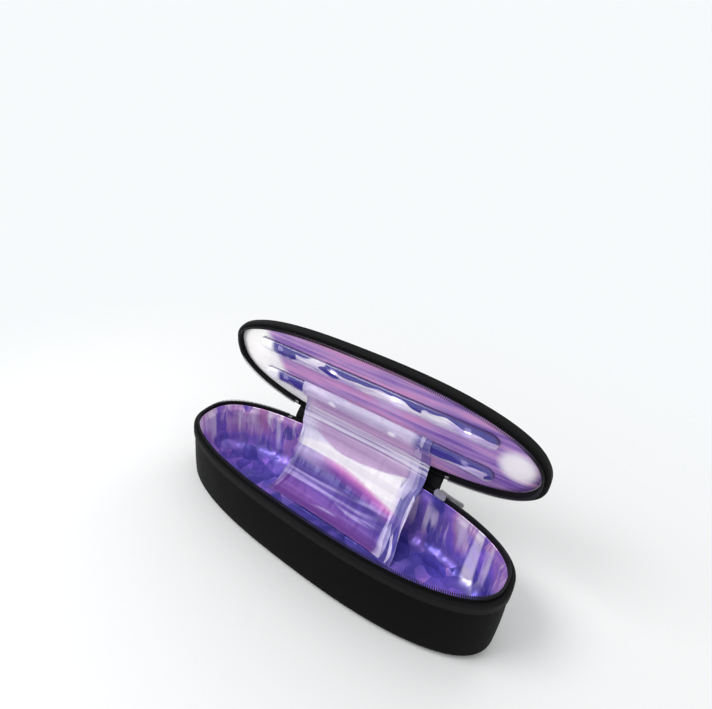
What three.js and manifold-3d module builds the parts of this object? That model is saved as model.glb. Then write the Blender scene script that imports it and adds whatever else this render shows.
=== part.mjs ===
// Portable ultraviolet sanitizing case: a zip-up oval tray with a foil lining, and a flat lid that carries
// two rows of ultraviolet lamps. Millimetres, +Z up, +X along the case, hinge on the +Y side.
// The lid is drawn in its closed place and then opened about the hinge line.
import * as THREE from "three";
import { mergeVertices } from "three/addons/utils/BufferGeometryUtils.js";
import Module from "manifold-3d";

const wasm = await Module();
wasm.setup();

// Overall form of the case
const caseLength = 345;
const caseWidth = 125;
const outlinePower = 2.5;
const outlineSteps = 60;
const restOpeningDeg = 72;

// Base tray
const baseHeight = 62;
const shellWall = 3.2;
const floorThickness = 3.2;
const floorEdgeRadius = 8;
const wallDraft = 1.6;

// Lid panel
const lidWallHeight = 6;
const lidRise = 6.5;
const lidShoulder = 17;
const lidWall = 2.6;

// Rim bands, zip and hinge
const fit = 0.3;
const overrun = 2;
const weldDistance = 1e-4;
const bandThickness = 1;
const baseBandHeight = 7;
const lidBandHeight = 5;
const bandCorner = 0.4;
const zipGap = 10;
const tapeThickness = 0.8;
const baseTapeSeat = 8;
const lidTapeSeat = 3;
const toothPitch = 6;
const toothHeight = 1.8;
const toothWidth = 2.4;
const toothRootWidth = 1.5;
const cordHeight = 1.2;
const toothPlay = 0.5;
const tapeSteps = 50;
const zipFineSteps = 720;
const hingeHalfLength = 88;
const hingeStripThickness = 0.9;
const hingeLeaf = 12;
const tapeEndGap = 3;
const zipStopLength = 4;
const zipStopThickness = 0.6;

// Zip slider and its pull
const sliderLength = 12;
const sliderPlate = 1.2;
const sliderPlay = 0.5;
const sliderNose = 4;
const sliderPost = 2.4;
const sliderFlange = 0.8;
const sliderCornerShare = 0.35;
const bailReach = 3.6;
const bailBar = 1.1;
const bailLength = 6;
const bailHeight = 2;
const pullLength = 22;
const pullWidth = 4.6;
const pullThickness = 1.4;
const pullEyeBar = 1.3;

// Foil lining, base board, film bridge
const foilThickness = 0.8;
const foilFold = 5;
const foilFloorFold = 1.2;
const foilRimDrop = 3;
const foilLevelShares = [0, 0.35, 0.7, 1];
const foilCornerInShare = 0.6;
const foilCornerUpShare = 0.3;
const baseBoardThickness = 1.5;
const filmHalfLength = 75;
const filmThickness = 0.6;
const filmPleat = 0.7;
const filmGap = 1;
const filmSlope = 48;
const filmRipples = 5;
const filmCrestShare = 0.6;
const filmSagInShare = 0.45;
const filmSagUpShare = 0.5;

// Lid lining, lamp rows and electronics
const liningDepth = 1.6;
const liningThickness = 0.8;
const liningRidge = 0.9;
const liningLines = 22;
const liningSteps = 14;
const liningEdgeShare = 0.985;
const lidBoardThickness = 1.5;
const lampRowOffset = 22;
const lampSpacing = 70;
const lampsPerRow = 4;
const lampSize = 5;
const lampBase = 0.8;
const lampDomeRadius = 1.9;
const lampDomeShares = [0, 0.35, 0.7, 0.95];
const lampDomeSides = 12;
const ledBoardWidth = 9;
const ledBoardThickness = 1;
const ledBoardEnd = 12;
const sleeveWidth = 17;
const sleeveHeight = 6;
const sleeveWall = 0.8;
const sleeveEndDegs = [75, 50, 25, 0];
const sleeveSides = 10;
const batteryLength = 60;
const batteryWidth = 36;
const batteryThickness = 4;
const batteryPlace = -82;
const sensorRadius = 1.2;
const sensorLength = 14;
const magnetRadius = 4;
const magnetThickness = 1.6;
const cableWidth = 6;
const cableThickness = 1;

// Control pod on the outside of the lid
const podLength = 58;
const podWidth = 24;
const podHeight = 8;
const podWall = 1.6;
const podBevel = 1.2;
const podBevelMidShare = 0.3;
const podPlaceY = 24;
const buttonRadius = 5;
const buttonFlange = 1.2;
const buttonFlangeThickness = 1;
const buttonTravel = 0.8;
const buttonProud = 0.9;
const buttonPlaceX = -14;
const lensRadius = 1.3;
const lensPlaceX = 0;
const inletWidth = 9;
const inletHeight = 3.2;
const inletDepth = 7;
const inletPlaceX = 12;
const inletWall = 0.5;
const controlBoardThickness = 1;
const controlBoardLength = 41;
const controlBoardWidth = 18.6;
const switchHeight = 2.2;
const buttonStem = 2;
const lensFlange = 0.9;
const switchSize = 6;
const switchBodyShare = 0.7;
const plungerShare = 0.8;
const backplateThickness = 1.2;
const screwRadius = 1.1;
const screwHeadRadius = 2;
const screwHeadHeight = 1.2;
const screwPlaceX = 23.5;
const screwReach = 5;
const bossWall = 1.3;
const backplateLength = 56;
const backplateWidth = 19;
const apertureLength = 34;
const apertureWidth = 9;

// Heights that follow from the sizes above
const halfLength = caseLength / 2;
const halfWidth = caseWidth / 2;
const splitHeight = baseHeight + zipGap / 2;
const lidRim = baseHeight + zipGap;
const lidTop = lidRim + lidWallHeight + lidRise;
const stripReach = fit + bandThickness + fit;
const hingeY = halfWidth + stripReach + hingeStripThickness / 2;
const tapeInset = shellWall + fit;
const foilInset = tapeInset + tapeThickness + fit;
const foilFloor = floorThickness + fit + baseBoardThickness + fit;
const liningFace = lidRim + liningDepth;
const liningInset = foilInset + fit;
const lidBoardFoot = liningFace + liningThickness + fit;
const lidBoardTop = lidBoardFoot + lidBoardThickness;
const lidCeiling = lidTop - lidWall;
const innerEdgeRadius = floorEdgeRadius / 2;
const opening = THREE.MathUtils.degToRad(restOpeningDeg);

// Materials
const paint = (color, roughness, metalness, extra = {}) =>
  new THREE.MeshStandardMaterial({ color, roughness, metalness, ...extra });
const clear = { transparent: true, opacity: 0.4 };
const blackShell = paint(0x17171a, 0.62, 0);
const blackBand = paint(0x0c0c0e, 0.75, 0);
const blackTape = paint(0x141416, 0.85, 0);
const toothNylon = paint(0x4a4655, 0.45, 0);
const sliderMetal = paint(0xb9b9bd, 0.32, 0.9);
const foil = paint(0xb9b4dd, 0.22, 0.85);
const lidFoil = paint(0xe9e6ea, 0.3, 0.6);
const filmClear = paint(0xe4e0f2, 0.15, 0.3, { transparent: true, opacity: 0.6 });
const sleeveClear = paint(0xf2f0fa, 0.12, 0, clear);
const boardWhite = paint(0xf1efe9, 0.5, 0);
const boardPlastic = paint(0xd6d6d8, 0.6, 0);
const circuitGreen = paint(0x2f6b45, 0.5, 0);
const lampCeramic = paint(0xf7f7ff, 0.3, 0, { emissive: 0x8a5cff });
const cellWrap = paint(0x8f949b, 0.4, 0.4);
const metal = paint(0xc3c6ca, 0.3, 0.95);
const podPlastic = paint(0x1b1b1f, 0.42, 0);
const buttonPlastic = paint(0x2a2a2f, 0.35, 0);

// Solids and booleans
function solid(geometry) {
  const bare = geometry.index ? geometry.toNonIndexed() : geometry.clone();
  bare.deleteAttribute("normal");
  bare.deleteAttribute("uv");
  const merged = mergeVertices(bare, weldDistance);
  const made = new wasm.Manifold(
    new wasm.Mesh({
      numProp: 3,
      vertProperties: merged.attributes.position.array,
      triVerts: new Uint32Array(merged.index.array),
    }),
  );
  return made;
}

function shape(manifold) {
  const mesh = manifold.getMesh();
  const geometry = new THREE.BufferGeometry();
  const places = new Float32Array(mesh.numVert * 3);
  for (let i = 0; i < mesh.numVert; i++) {
    places.set(mesh.vertProperties.subarray(i * mesh.numProp, i * mesh.numProp + 3), i * 3);
  }
  geometry.setAttribute("position", new THREE.BufferAttribute(places, 3));
  geometry.setIndex(new THREE.BufferAttribute(mesh.triVerts, 1));
  return geometry;
}

function cut(body, ...tools) {
  return shape(tools.reduce((left, tool) => left.subtract(solid(tool)), solid(body)));
}

function join(body, ...others) {
  return shape(others.reduce((sum, other) => sum.add(solid(other)), solid(body)));
}

// A closed surface whose rows of points all have the same count; rows close on themselves
function lofted(rows, closesUp) {
  const width = rows[0].length;
  const places = rows.flat();
  const faces = [];
  const spans = closesUp ? rows.length : rows.length - 1;
  for (let r = 0; r < spans; r++) {
    const here = r * width;
    const next = ((r + 1) % rows.length) * width;
    for (let c = 0; c < width; c++) {
      const d = (c + 1) % width;
      faces.push([here + c, here + d, next + d], [here + c, next + d, next + c]);
    }
  }
  if (!closesUp) {
    capRow(rows[0], 0, faces, true);
    capRow(rows[rows.length - 1], (rows.length - 1) * width, faces, false);
  }
  return faced(places, faces);
}

// Closes the end of a loft with the triangles of its own flat outline
function capRow(row, start, faces, reversed) {
  const [u, v] = planeAxes(row);
  const flat = row.map((p) => new THREE.Vector2(p.dot(u), p.dot(v)));
  const area = THREE.ShapeUtils.area(flat);
  for (const [a, b, c] of THREE.ShapeUtils.triangulateShape(flat, [])) {
    const turned = area > 0 === reversed;
    faces.push(turned ? [start + a, start + c, start + b] : [start + a, start + b, start + c]);
  }
}

function planeAxes(row) {
  const normal = new THREE.Vector3();
  row.forEach((p, i) => normal.add(p.clone().cross(row[(i + 1) % row.length])));
  normal.normalize();
  const u = row[1].clone().sub(row[0]).normalize();
  return [u, normal.clone().cross(u)];
}

// Builds the geometry, and turns every face round if the volume comes out negative
function faced(places, faces) {
  const volume = faces.reduce(
    (sum, [a, b, c]) => sum + places[a].dot(places[b].clone().cross(places[c])),
    0,
  );
  const index = faces.flatMap(([a, b, c]) => (volume < 0 ? [a, c, b] : [a, b, c]));
  const geometry = new THREE.BufferGeometry().setFromPoints(places);
  geometry.setIndex(index);
  return geometry;
}

// The oval outline: a superellipse, walked by its own angle
function station(angle) {
  const c = Math.cos(angle);
  const s = Math.sin(angle);
  const x = halfLength * Math.sign(c) * Math.abs(c) ** (2 / outlinePower);
  const y = halfWidth * Math.sign(s) * Math.abs(s) ** (2 / outlinePower);
  const slope = outlinePower - 1;
  const normal = new THREE.Vector2(
    (Math.sign(x) * Math.abs(x / halfLength) ** slope) / halfLength,
    (Math.sign(y) * Math.abs(y / halfWidth) ** slope) / halfWidth,
  ).normalize();
  return { x, y, normal };
}

const fullTurn = Array.from({ length: outlineSteps }, (_, i) => station((2 * Math.PI * i) / outlineSteps));

function placed(at, inset, z) {
  return new THREE.Vector3(at.x - at.normal.x * inset, at.y - at.normal.y * inset, z);
}

// The outline's half width at a place along the case
function outlineY(x) {
  return halfWidth * (1 - Math.abs(x / halfLength) ** outlinePower) ** (1 / outlinePower);
}

function backAngle(x) {
  const angle = Math.acos(Math.abs(x / halfLength) ** (outlinePower / 2));
  return x < 0 ? Math.PI - angle : angle;
}

// A closed profile of [inset, height] points carried round the whole outline
function band(profile) {
  return lofted(fullTurn.map((at) => profile.map(([inset, z]) => placed(at, inset, z))), true);
}

// An open profile from the middle of one face to the middle of the other, carried round the outline
function tray(profile) {
  const rings = profile.map(([inset, z, wave]) =>
    fullTurn.map((at, i) => placed(at, inset + (wave ? wave(i)[0] : 0), z + (wave ? wave(i)[1] : 0))),
  );
  const places = rings.flat();
  const faces = [];
  for (let r = 0; r + 1 < rings.length; r++) {
    for (let i = 0; i < outlineSteps; i++) {
      const j = (i + 1) % outlineSteps;
      const a = r * outlineSteps;
      const b = a + outlineSteps;
      faces.push([a + i, a + j, b + j], [a + i, b + j, b + i]);
    }
  }
  const last = (rings.length - 1) * outlineSteps;
  const firstMiddle = places.push(new THREE.Vector3(0, 0, profile[0][1])) - 1;
  const lastMiddle = places.push(new THREE.Vector3(0, 0, profile[profile.length - 1][1])) - 1;
  for (let i = 0; i < outlineSteps; i++) {
    const j = (i + 1) % outlineSteps;
    faces.push([firstMiddle, j, i], [lastMiddle, last + i, last + j]);
  }
  return faced(places, faces);
}

// Quarter of an ellipse between a flat face and a wall, as [inset, height] points
function quarter(inset, z, reachIn, reachUp, steps) {
  return Array.from({ length: steps + 1 }, (_, i) => {
    const angle = (Math.PI / 2) * (i / steps);
    return [inset + reachIn * (1 - Math.cos(angle)), z + reachUp * Math.sin(angle)];
  });
}

// A length of the outline between the right and the left end of the zip, round the front
const zipStart = backAngle(hingeHalfLength + tapeEndGap);
const zipEnd = backAngle(-hingeHalfLength - tapeEndGap) - 2 * Math.PI;

function zipStations(count) {
  const angleAt = (step) => zipStart + ((zipEnd - zipStart) * step) / zipFineSteps;
  const fine = Array.from({ length: zipFineSteps + 1 }, (_, i) => station(angleAt(i)));
  const run = [0];
  for (let i = 1; i < fine.length; i++) {
    run.push(run[i - 1] + Math.hypot(fine[i].x - fine[i - 1].x, fine[i].y - fine[i - 1].y));
  }
  const total = run[run.length - 1];
  const steps = count ?? 2 * Math.round(total / toothPitch);
  return Array.from({ length: steps + 1 }, (_, k) => {
    const want = (total * k) / steps;
    const i = Math.max(1, run.findIndex((r) => r >= want - weldDistance));
    const share = (want - run[i - 1]) / (run[i] - run[i - 1]);
    return station(angleAt(i - 1 + share));
  });
}

// Base tray of moulded foam, with a pocket for the closing magnet
function makeBaseShell() {
  const outer = quarter(wallDraft, floorEdgeRadius, floorEdgeRadius, -floorEdgeRadius, 4).reverse();
  const innerFoot = floorThickness + innerEdgeRadius;
  const inner = quarter(shellWall + wallDraft, innerFoot, innerEdgeRadius, -innerEdgeRadius, 3);
  const bandFoot = baseHeight - baseTapeSeat;
  const shell = tray([
    ...outer,
    [0, bandFoot],
    [0, baseHeight],
    [shellWall, baseHeight],
    [shellWall, bandFoot],
    ...inner,
  ]);
  const pocket = magnetDisc(magnetRadius + fit, magnetThickness + fit + overrun);
  pocket.translate(0, -halfWidth + shellWall - fit - magnetThickness - fit, magnetHeight);
  return cut(shell, pocket);
}

const magnetHeight = baseHeight - magnetRadius - 2 * fit;

// A disc that starts at y = 0 and reaches towards the middle of the case
function magnetDisc(radius, thickness) {
  return new THREE.CylinderGeometry(radius, radius, thickness, 20).translate(0, thickness / 2, 0);
}

function makeMagnet() {
  const disc = magnetDisc(magnetRadius, magnetThickness);
  return disc.translate(0, -halfWidth + shellWall - fit - magnetThickness, magnetHeight);
}

// Bands folded over the two rims
function makeBaseBinding() {
  const foot = baseHeight - baseBandHeight;
  const top = baseHeight + fit + bandThickness;
  return band([
    [-fit - bandThickness, foot],
    [-fit - bandThickness, top - bandCorner],
    [-fit - bandThickness + bandCorner, top],
    [shellWall, top],
    [shellWall, top - bandThickness],
    [-fit, top - bandThickness],
    [-fit, foot],
  ]);
}

function makeLidBinding() {
  const head = lidRim + lidBandHeight;
  const low = lidRim - fit - bandThickness;
  return band([
    [-fit - bandThickness, head],
    [-fit - bandThickness, low + bandCorner],
    [-fit - bandThickness + bandCorner, low],
    [lidWall, low],
    [lidWall, low + bandThickness],
    [-fit, low + bandThickness],
    [-fit, head],
  ]);
}

// Zip tapes, and two rows of teeth that meet point to gap
const teethRoot = toothHeight / 2 + toothPlay / 2 + cordHeight;
const tapeMiddle = tapeInset + tapeThickness / 2;

function makeTape(low, high) {
  const profile = [
    [tapeInset, low],
    [tapeInset, high],
    [tapeInset + tapeThickness, high],
    [tapeInset + tapeThickness, low],
  ];
  const rows = zipStations(tapeSteps).map((at) => profile.map(([inset, z]) => placed(at, inset, z)));
  return lofted(rows, false);
}

function makeTeeth(side) {
  const rows = zipStations().map((at, k) => {
    const peak = k % 2 === (side > 0 ? 1 : 0);
    const half = (peak ? toothWidth : toothRootWidth) / 2;
    const edge = splitHeight + side * ((peak ? -toothHeight : toothHeight) / 2 + toothPlay / 2);
    const root = splitHeight + side * teethRoot;
    return [
      placed(at, tapeMiddle - half, root),
      placed(at, tapeMiddle - half, edge),
      placed(at, tapeMiddle + half, edge),
      placed(at, tapeMiddle + half, root),
    ];
  });
  return lofted(rows.slice(1, -1), false);
}

// Sets a piece drawn at the origin at an end of the zip, its +X pointing past the tape's end
function atZipEnd(geometry, end) {
  const at = station(end > 0 ? zipStart : zipEnd);
  const middle = placed(at, tapeMiddle, splitHeight);
  geometry.rotateZ(Math.atan2(at.normal.x * end, -at.normal.y * end));
  return geometry.translate(middle.x, middle.y, middle.z);
}

// A clamp folded round the end of a tape, below or above its row of teeth
function makeZipStop(end, side) {
  const space = tapeThickness + 2 * fit;
  const far = zipGap / 2 - fit - bandThickness - fit;
  const near = teethRoot + fit;
  const height = far - near;
  const clamp = new THREE.BoxGeometry(zipStopLength, space + 2 * zipStopThickness, height);
  clamp.translate(fit + zipStopThickness - zipStopLength / 2, 0, 0);
  const slot = new THREE.BoxGeometry(zipStopLength + overrun, space, height + overrun);
  slot.translate(fit - (zipStopLength + overrun) / 2, 0, 0);
  return atZipEnd(cut(clamp, slot).translate(0, 0, side * (near + height / 2)), end);
}

// The slider's side plate, rounded like a shield, in its own X and Z
function sliderPlateShape(low, high) {
  const back = sliderNose - sliderLength;
  const corner = (high - low) * sliderCornerShare;
  const plate = new THREE.Shape();
  plate.moveTo(back + corner, low);
  plate.lineTo(sliderNose - corner, low);
  plate.quadraticCurveTo(sliderNose, low, sliderNose, low + corner);
  plate.lineTo(sliderNose, high - corner);
  plate.quadraticCurveTo(sliderNose, high, sliderNose - corner, high);
  plate.lineTo(back + corner, high);
  plate.quadraticCurveTo(back, high, back, high - corner);
  plate.lineTo(back, low + corner);
  plate.quadraticCurveTo(back, low, back + corner, low);
  return plate;
}

const sliderReach = zipGap / 2 - fit - bandThickness - fit;
const sliderMouth = toothWidth / 2 + sliderPlay;
const outerPlateTop = toothHeight / 2 + fit;
const bailMiddle = (outerPlateTop - sliderReach) / 2;
const bailStart = sliderNose - sliderPost - bailLength;

// Extrudes an X-Z shape from one Y to another
function slab(plate, fromY, toY) {
  const settings = { depth: toY - fromY, bevelEnabled: false, curveSegments: 4 };
  return new THREE.ExtrudeGeometry(plate, settings).rotateX(Math.PI / 2).translate(0, toY, 0);
}

// One of the slider's side plates, between two heights and two distances from the tape
function plateBetween(low, high, fromY, toY) {
  return slab(sliderPlateShape(low, high), fromY, toY);
}

function boxBetween([x0, y0, z0], [x1, y1, z1]) {
  const made = new THREE.BoxGeometry(x1 - x0, y1 - y0, z1 - z0);
  return made.translate((x0 + x1) / 2, (y0 + y1) / 2, (z0 + z1) / 2);
}

function makeSlider() {
  const back = sliderNose - sliderLength;
  const outside = -sliderMouth - sliderPlate;
  const inside = sliderMouth + sliderPlate;
  const flangeTop = -teethRoot - fit;
  const flangeEnd = fit + zipStopThickness - zipStopLength - fit;
  const innerPlate = plateBetween(-sliderReach, sliderReach, sliderMouth, inside);
  const outerPlate = plateBetween(-sliderReach, outerPlateTop, outside, -sliderMouth);
  const post = boxBetween(
    [sliderNose - sliderPost, outside + fit, -sliderReach + fit],
    [sliderNose - fit, inside - fit, outerPlateTop - fit],
  );
  const flanges = [-1, 1].map((side) => {
    const reach = [side * (sliderMouth - sliderFlange), side * (sliderMouth + fit)].sort((a, b) => a - b);
    return boxBetween([back + sliderPlate, reach[0], -sliderReach], [flangeEnd, reach[1], flangeTop]);
  });
  const bail = boxBetween(
    [bailStart, outside - bailReach, bailMiddle - bailHeight / 2],
    [bailStart + bailLength, outside + fit, bailMiddle + bailHeight / 2],
  );
  const eye = boxBetween(
    [bailStart + bailBar, outside - bailReach + bailBar, bailMiddle - bailHeight],
    [bailStart + bailLength - bailBar, outside, bailMiddle + bailHeight],
  );
  return atZipEnd(join(innerPlate, outerPlate, post, ...flanges, cut(bail, eye)), 1);
}

// The pull lies along the rim, its eye looped through the slider's bail
const pullAxis = [bailStart + bailLength / 2, -sliderMouth - sliderPlate - (bailReach - bailBar) / 2];

function makePull() {
  const half = pullWidth / 2;
  const outline = new THREE.Shape();
  const left = -pullLength;
  outline.moveTo(left + half, -half);
  outline.lineTo(pullEyeBar / 2, -half);
  outline.lineTo(pullEyeBar / 2, half);
  outline.lineTo(left + half, half);
  outline.absarc(left + half, 0, half, Math.PI / 2, Math.PI * 1.5, false);
  const window = new THREE.Path();
  const reach = bailLength / 2 + bailBar;
  const side = bailHeight / 2 + fit;
  window.moveTo(-pullEyeBar / 2 - reach, -side);
  window.lineTo(-pullEyeBar / 2, -side);
  window.lineTo(-pullEyeBar / 2, side);
  window.lineTo(-pullEyeBar / 2 - reach, side);
  outline.holes.push(window);
  const pull = slab(outline, -pullThickness / 2, pullThickness / 2);
  return atZipEnd(pull.translate(pullAxis[0], pullAxis[1], bailMiddle), 1);
}

// Foil lining of the tray: two sets of upright creases round the outline, which lean as they rise
const foilCreases = [
  { count: 9, lean: 2.4, start: 0, share: 0.6 },
  { count: 17, lean: -1.7, start: 1, share: 0.4 },
];
const creaseFoot = 0.12 * Math.PI;
const creaseHead = 0.88 * Math.PI;
const floorCreases = 7;

// Calm where the film comes down at the back
function foilCrease(i, level) {
  const at = fullTurn[i];
  const turn = (2 * Math.PI * i) / outlineSteps;
  const besideFilm = THREE.MathUtils.smoothstep(Math.abs(at.x), filmHalfLength, halfLength);
  const behindFilm = at.y > 0 ? besideFilm : 1;
  const depth = foilCreases.reduce((sum, crease) => {
    const wave = 1 + Math.sin(crease.count * turn + crease.lean * level + crease.start);
    return sum + (crease.share * wave) / 2;
  }, 0);
  return foilFold * behindFilm * depth * Math.sin(THREE.MathUtils.lerp(creaseFoot, creaseHead, level));
}

function foilWave(level) {
  return (i) => [foilCrease(i, level), 0];
}

function floorWave(i) {
  const turn = (2 * Math.PI * i) / outlineSteps;
  return [0, (foilFloorFold * (1 + Math.sin(floorCreases * turn))) / 2];
}

function makeFoil() {
  const wallFoot = foilFloor + innerEdgeRadius;
  const wallTop = baseHeight - foilRimDrop;
  const floorInset = halfWidth / 2;
  const wall = (inward) =>
    foilLevelShares.map((level) => {
      const z = THREE.MathUtils.lerp(wallFoot, wallTop, level);
      return [foilInset + inward + wallDraft * (1 - z / baseHeight), z, foilWave(level)];
    });
  const corner = (inward) => [
    foilInset + inward + wallDraft + innerEdgeRadius * foilCornerInShare,
    foilFloor + inward + innerEdgeRadius * foilCornerUpShare,
    foilWave(0),
  ];
  const edge = (inward) => [foilInset + inward + wallDraft + innerEdgeRadius * 2, foilFloor + inward];
  return tray([
    [floorInset, foilFloor, floorWave],
    edge(0),
    corner(0),
    ...wall(0),
    ...wall(foilThickness).reverse(),
    corner(foilThickness),
    edge(foilThickness),
    [floorInset, foilFloor + foilThickness, floorWave],
  ]);
}

function makeBaseBoard() {
  const inset = shellWall + wallDraft + innerEdgeRadius + fit;
  const foot = floorThickness + fit;
  return tray([
    [inset, foot],
    [inset, foot + baseBoardThickness],
  ]);
}

// A closed-lid point turned with the lid about the hinge line, as [y, z]
function openedPoint(y, z) {
  const c = Math.cos(opening);
  const s = Math.sin(opening);
  const dy = y - hingeY;
  const dz = z - splitHeight;
  return [hingeY + dy * c + dz * s, splitHeight - dy * s + dz * c];
}

// A thin sheet carried along X, from a centre line of [y, z] points at each place
function sheetAlong(places, lineAt, thickness) {
  const rows = places.map((x) => {
    const line = lineAt(x);
    const sides = line.map(([y, z], i) => {
      const before = line[Math.max(0, i - 1)];
      const after = line[Math.min(line.length - 1, i + 1)];
      const along = new THREE.Vector2(after[0] - before[0], after[1] - before[1]).normalize();
      const shift = along.multiplyScalar(thickness / 2);
      return [
        new THREE.Vector3(x, y - shift.y, z + shift.x),
        new THREE.Vector3(x, y + shift.y, z - shift.x),
      ];
    });
    return [...sides.map((pair) => pair[0]), ...sides.map((pair) => pair[1]).reverse()];
  });
  return lofted(rows, false);
}

function spread(half, steps) {
  return Array.from({ length: steps + 1 }, (_, i) => half * ((2 * i) / steps - 1));
}

// Cloth strip outside the back, from the tray's wall over the hinge line to the lid's wall
function makeHingeStrip() {
  const reach = stripReach + hingeStripThickness / 2;
  return sheetAlong(
    spread(hingeHalfLength, 16),
    (x) => {
      const y = outlineY(x) + reach;
      const baseTop = new THREE.Vector2(y, baseHeight);
      const lidStart = new THREE.Vector2(...openedPoint(y, lidRim));
      const lidUp = new THREE.Vector2(Math.sin(opening), Math.cos(opening));
      const bend = new THREE.CubicBezierCurve(
        baseTop,
        baseTop.clone().add(new THREE.Vector2(0, zipGap / 2)),
        lidStart.clone().addScaledVector(lidUp, -zipGap / 2),
        lidStart,
      );
      const flex = bend.getPoints(5).map((p) => [p.x, p.y]);
      return [[y, baseHeight - hingeLeaf], ...flex, openedPoint(y, lidRim + lidBandHeight)];
    },
    hingeStripThickness,
  );
}

// Reflective film from the lower lamp row over the hinge and down to the tray's floor
function filmLine(x) {
  const back = outlineY(x);
  const sleeveFace = liningFace - fit - sleeveHeight - filmGap;
  const nearLining = liningFace - liningRidge - filmGap - fit;
  const over = sleeveWidth / 2;
  const ripple = filmPleat * Math.sin((filmRipples * Math.PI * x) / filmHalfLength);
  const floor = foilFloor + foilThickness + foilFloorFold;
  return [
    openedPoint(lampRowOffset - over - filmGap * 2, nearLining),
    openedPoint(lampRowOffset - over * filmCrestShare, sleeveFace),
    openedPoint(lampRowOffset + over * filmCrestShare, sleeveFace),
    openedPoint(lampRowOffset + over * 2, nearLining - filmPleat - ripple),
    [back - foilInset, splitHeight + filmGap + ripple],
    [back - foilInset - foilThickness - 3 * filmGap - ripple, baseHeight - foilRimDrop * 2],
    [back - foilInset - filmSlope * filmSagInShare + ripple, baseHeight * filmSagUpShare],
    [back - foilInset - filmSlope - ripple, floor + filmGap],
  ];
}

function makeFilm() {
  return sheetAlong(
    spread(filmHalfLength, 18),
    (x) => {
      const points = filmLine(x).map(([y, z]) => new THREE.Vector3(0, y, z));
      return new THREE.CatmullRomCurve3(points).getPoints(21).map((p) => [p.y, p.z]);
    },
    filmThickness,
  );
}

// Lid panel, pierced under the control pod
function makeLidPanel() {
  const wallHead = lidRim + lidWallHeight;
  const outer = quarter(0, wallHead, lidShoulder, lidRise, 5).reverse();
  const inner = quarter(lidWall, wallHead, lidShoulder - lidWall, lidRise - lidWall, 4);
  const panel = tray([...outer, [0, lidRim], [lidWall, lidRim], ...inner]);
  const thick = lidWall + 2 * overrun;
  const hole = boxBetween(
    [-apertureLength / 2, podPlaceY - apertureWidth / 2, lidTop - thick],
    [apertureLength / 2, podPlaceY + apertureWidth / 2, lidTop + overrun],
  );
  const screwHoles = screwPlaces().map((x) => rod(screwRadius + fit, thick, x, lidTop - thick + overrun));
  return cut(panel, hole, ...screwHoles);
}

function screwPlaces() {
  return [-screwPlaceX, screwPlaceX];
}

// An upright rod on the pod's middle line, standing on a height
function rod(radius, height, x, foot, sides = 16) {
  const made = new THREE.CylinderGeometry(radius, radius, height, sides).rotateX(Math.PI / 2);
  return made.translate(x, podPlaceY, foot + height / 2);
}

// Lining of the lid, ridged along the case between the lamp rows, slotted for the cable
function makeLidLining() {
  const halfX = halfLength - liningInset;
  const halfY = halfWidth - liningInset;
  const rows = Array.from({ length: liningLines + 1 }, (_, r) => {
    const y = halfY * liningEdgeShare * ((2 * r) / liningLines - 1);
    const reach = halfX * (1 - Math.abs(y / halfY) ** outlinePower) ** (1 / outlinePower);
    const ridge = (liningRidge * (1 + Math.cos((Math.PI * y) / lampRowOffset))) / 2;
    const low = spread(reach, liningSteps).map((x) => {
      const calm = 1 - Math.abs(x / reach) ** 4;
      return new THREE.Vector3(x, y, liningFace - ridge * calm);
    });
    const high = low.map((p) => p.clone().setZ(p.z + liningThickness)).reverse();
    return [...low, ...high];
  });
  return cut(lofted(rows, false), ...cableSlots());
}

function cableSlots() {
  return [-lampRowOffset, lampRowOffset].map((y) =>
    boxBetween(
      [-cableWidth / 2 - fit, y - cableThickness / 2 - fit, liningFace - overrun],
      [cableWidth / 2 + fit, y + cableThickness / 2 + fit, lidBoardTop + overrun],
    ),
  );
}

function makeLidBoard() {
  const inset = liningInset + fit;
  const board = tray([
    [inset, lidBoardFoot],
    [inset, lidBoardTop],
  ]);
  return cut(board, ...cableSlots());
}

// Lamp rows: a strip board, its lamps and a clear sleeve with round ends
const lampSpan = (lampsPerRow - 1) * lampSpacing;

function makeLedBoard(y) {
  const half = lampSpan / 2 + ledBoardEnd;
  return boxBetween(
    [-half, y - ledBoardWidth / 2, liningFace - fit - ledBoardThickness],
    [half, y + ledBoardWidth / 2, liningFace - fit],
  );
}

function makeLamp(x, y) {
  const top = liningFace - fit - ledBoardThickness - fit;
  const base = boxBetween([-lampSize / 2, -lampSize / 2, -lampBase], [lampSize / 2, lampSize / 2, 0]);
  return join(base, lampDome()).translate(x, y, top);
}

// Half a ball that hangs from the lamp's base
function lampDome() {
  const ring = (radius, z) =>
    Array.from({ length: lampDomeSides }, (_, i) => {
      const angle = (2 * Math.PI * i) / lampDomeSides;
      return new THREE.Vector3(radius * Math.cos(angle), radius * Math.sin(angle), z);
    });
  const rows = lampDomeShares.map((share) => {
    const angle = (Math.PI / 2) * share;
    return ring(lampDomeRadius * Math.cos(angle), -lampBase - lampDomeRadius * Math.sin(angle));
  });
  return lofted([ring(lampDomeRadius, -lampBase / 2), ...rows], false);
}

// Half an oval in section, flat against the lining, its ends rounded off in plan
function sleeveSolid(y, half, width, height, top) {
  const end = sleeveEndDegs.map((deg) => {
    const angle = THREE.MathUtils.degToRad(deg);
    return { x: half - (width / 2) * (1 - Math.sin(angle)), round: Math.cos(angle) };
  });
  const places = [...end.map(({ x, round }) => ({ x: -x, round })), ...end.reverse()];
  const rows = places.map(({ x, round }) =>
    Array.from({ length: sleeveSides + 1 }, (_, i) => {
      const angle = (Math.PI * i) / sleeveSides;
      const across = (width / 2) * round * Math.cos(angle);
      return new THREE.Vector3(x, y + across, top - height * Math.sqrt(round) * Math.sin(angle));
    }),
  );
  return lofted(rows, false);
}

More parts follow.
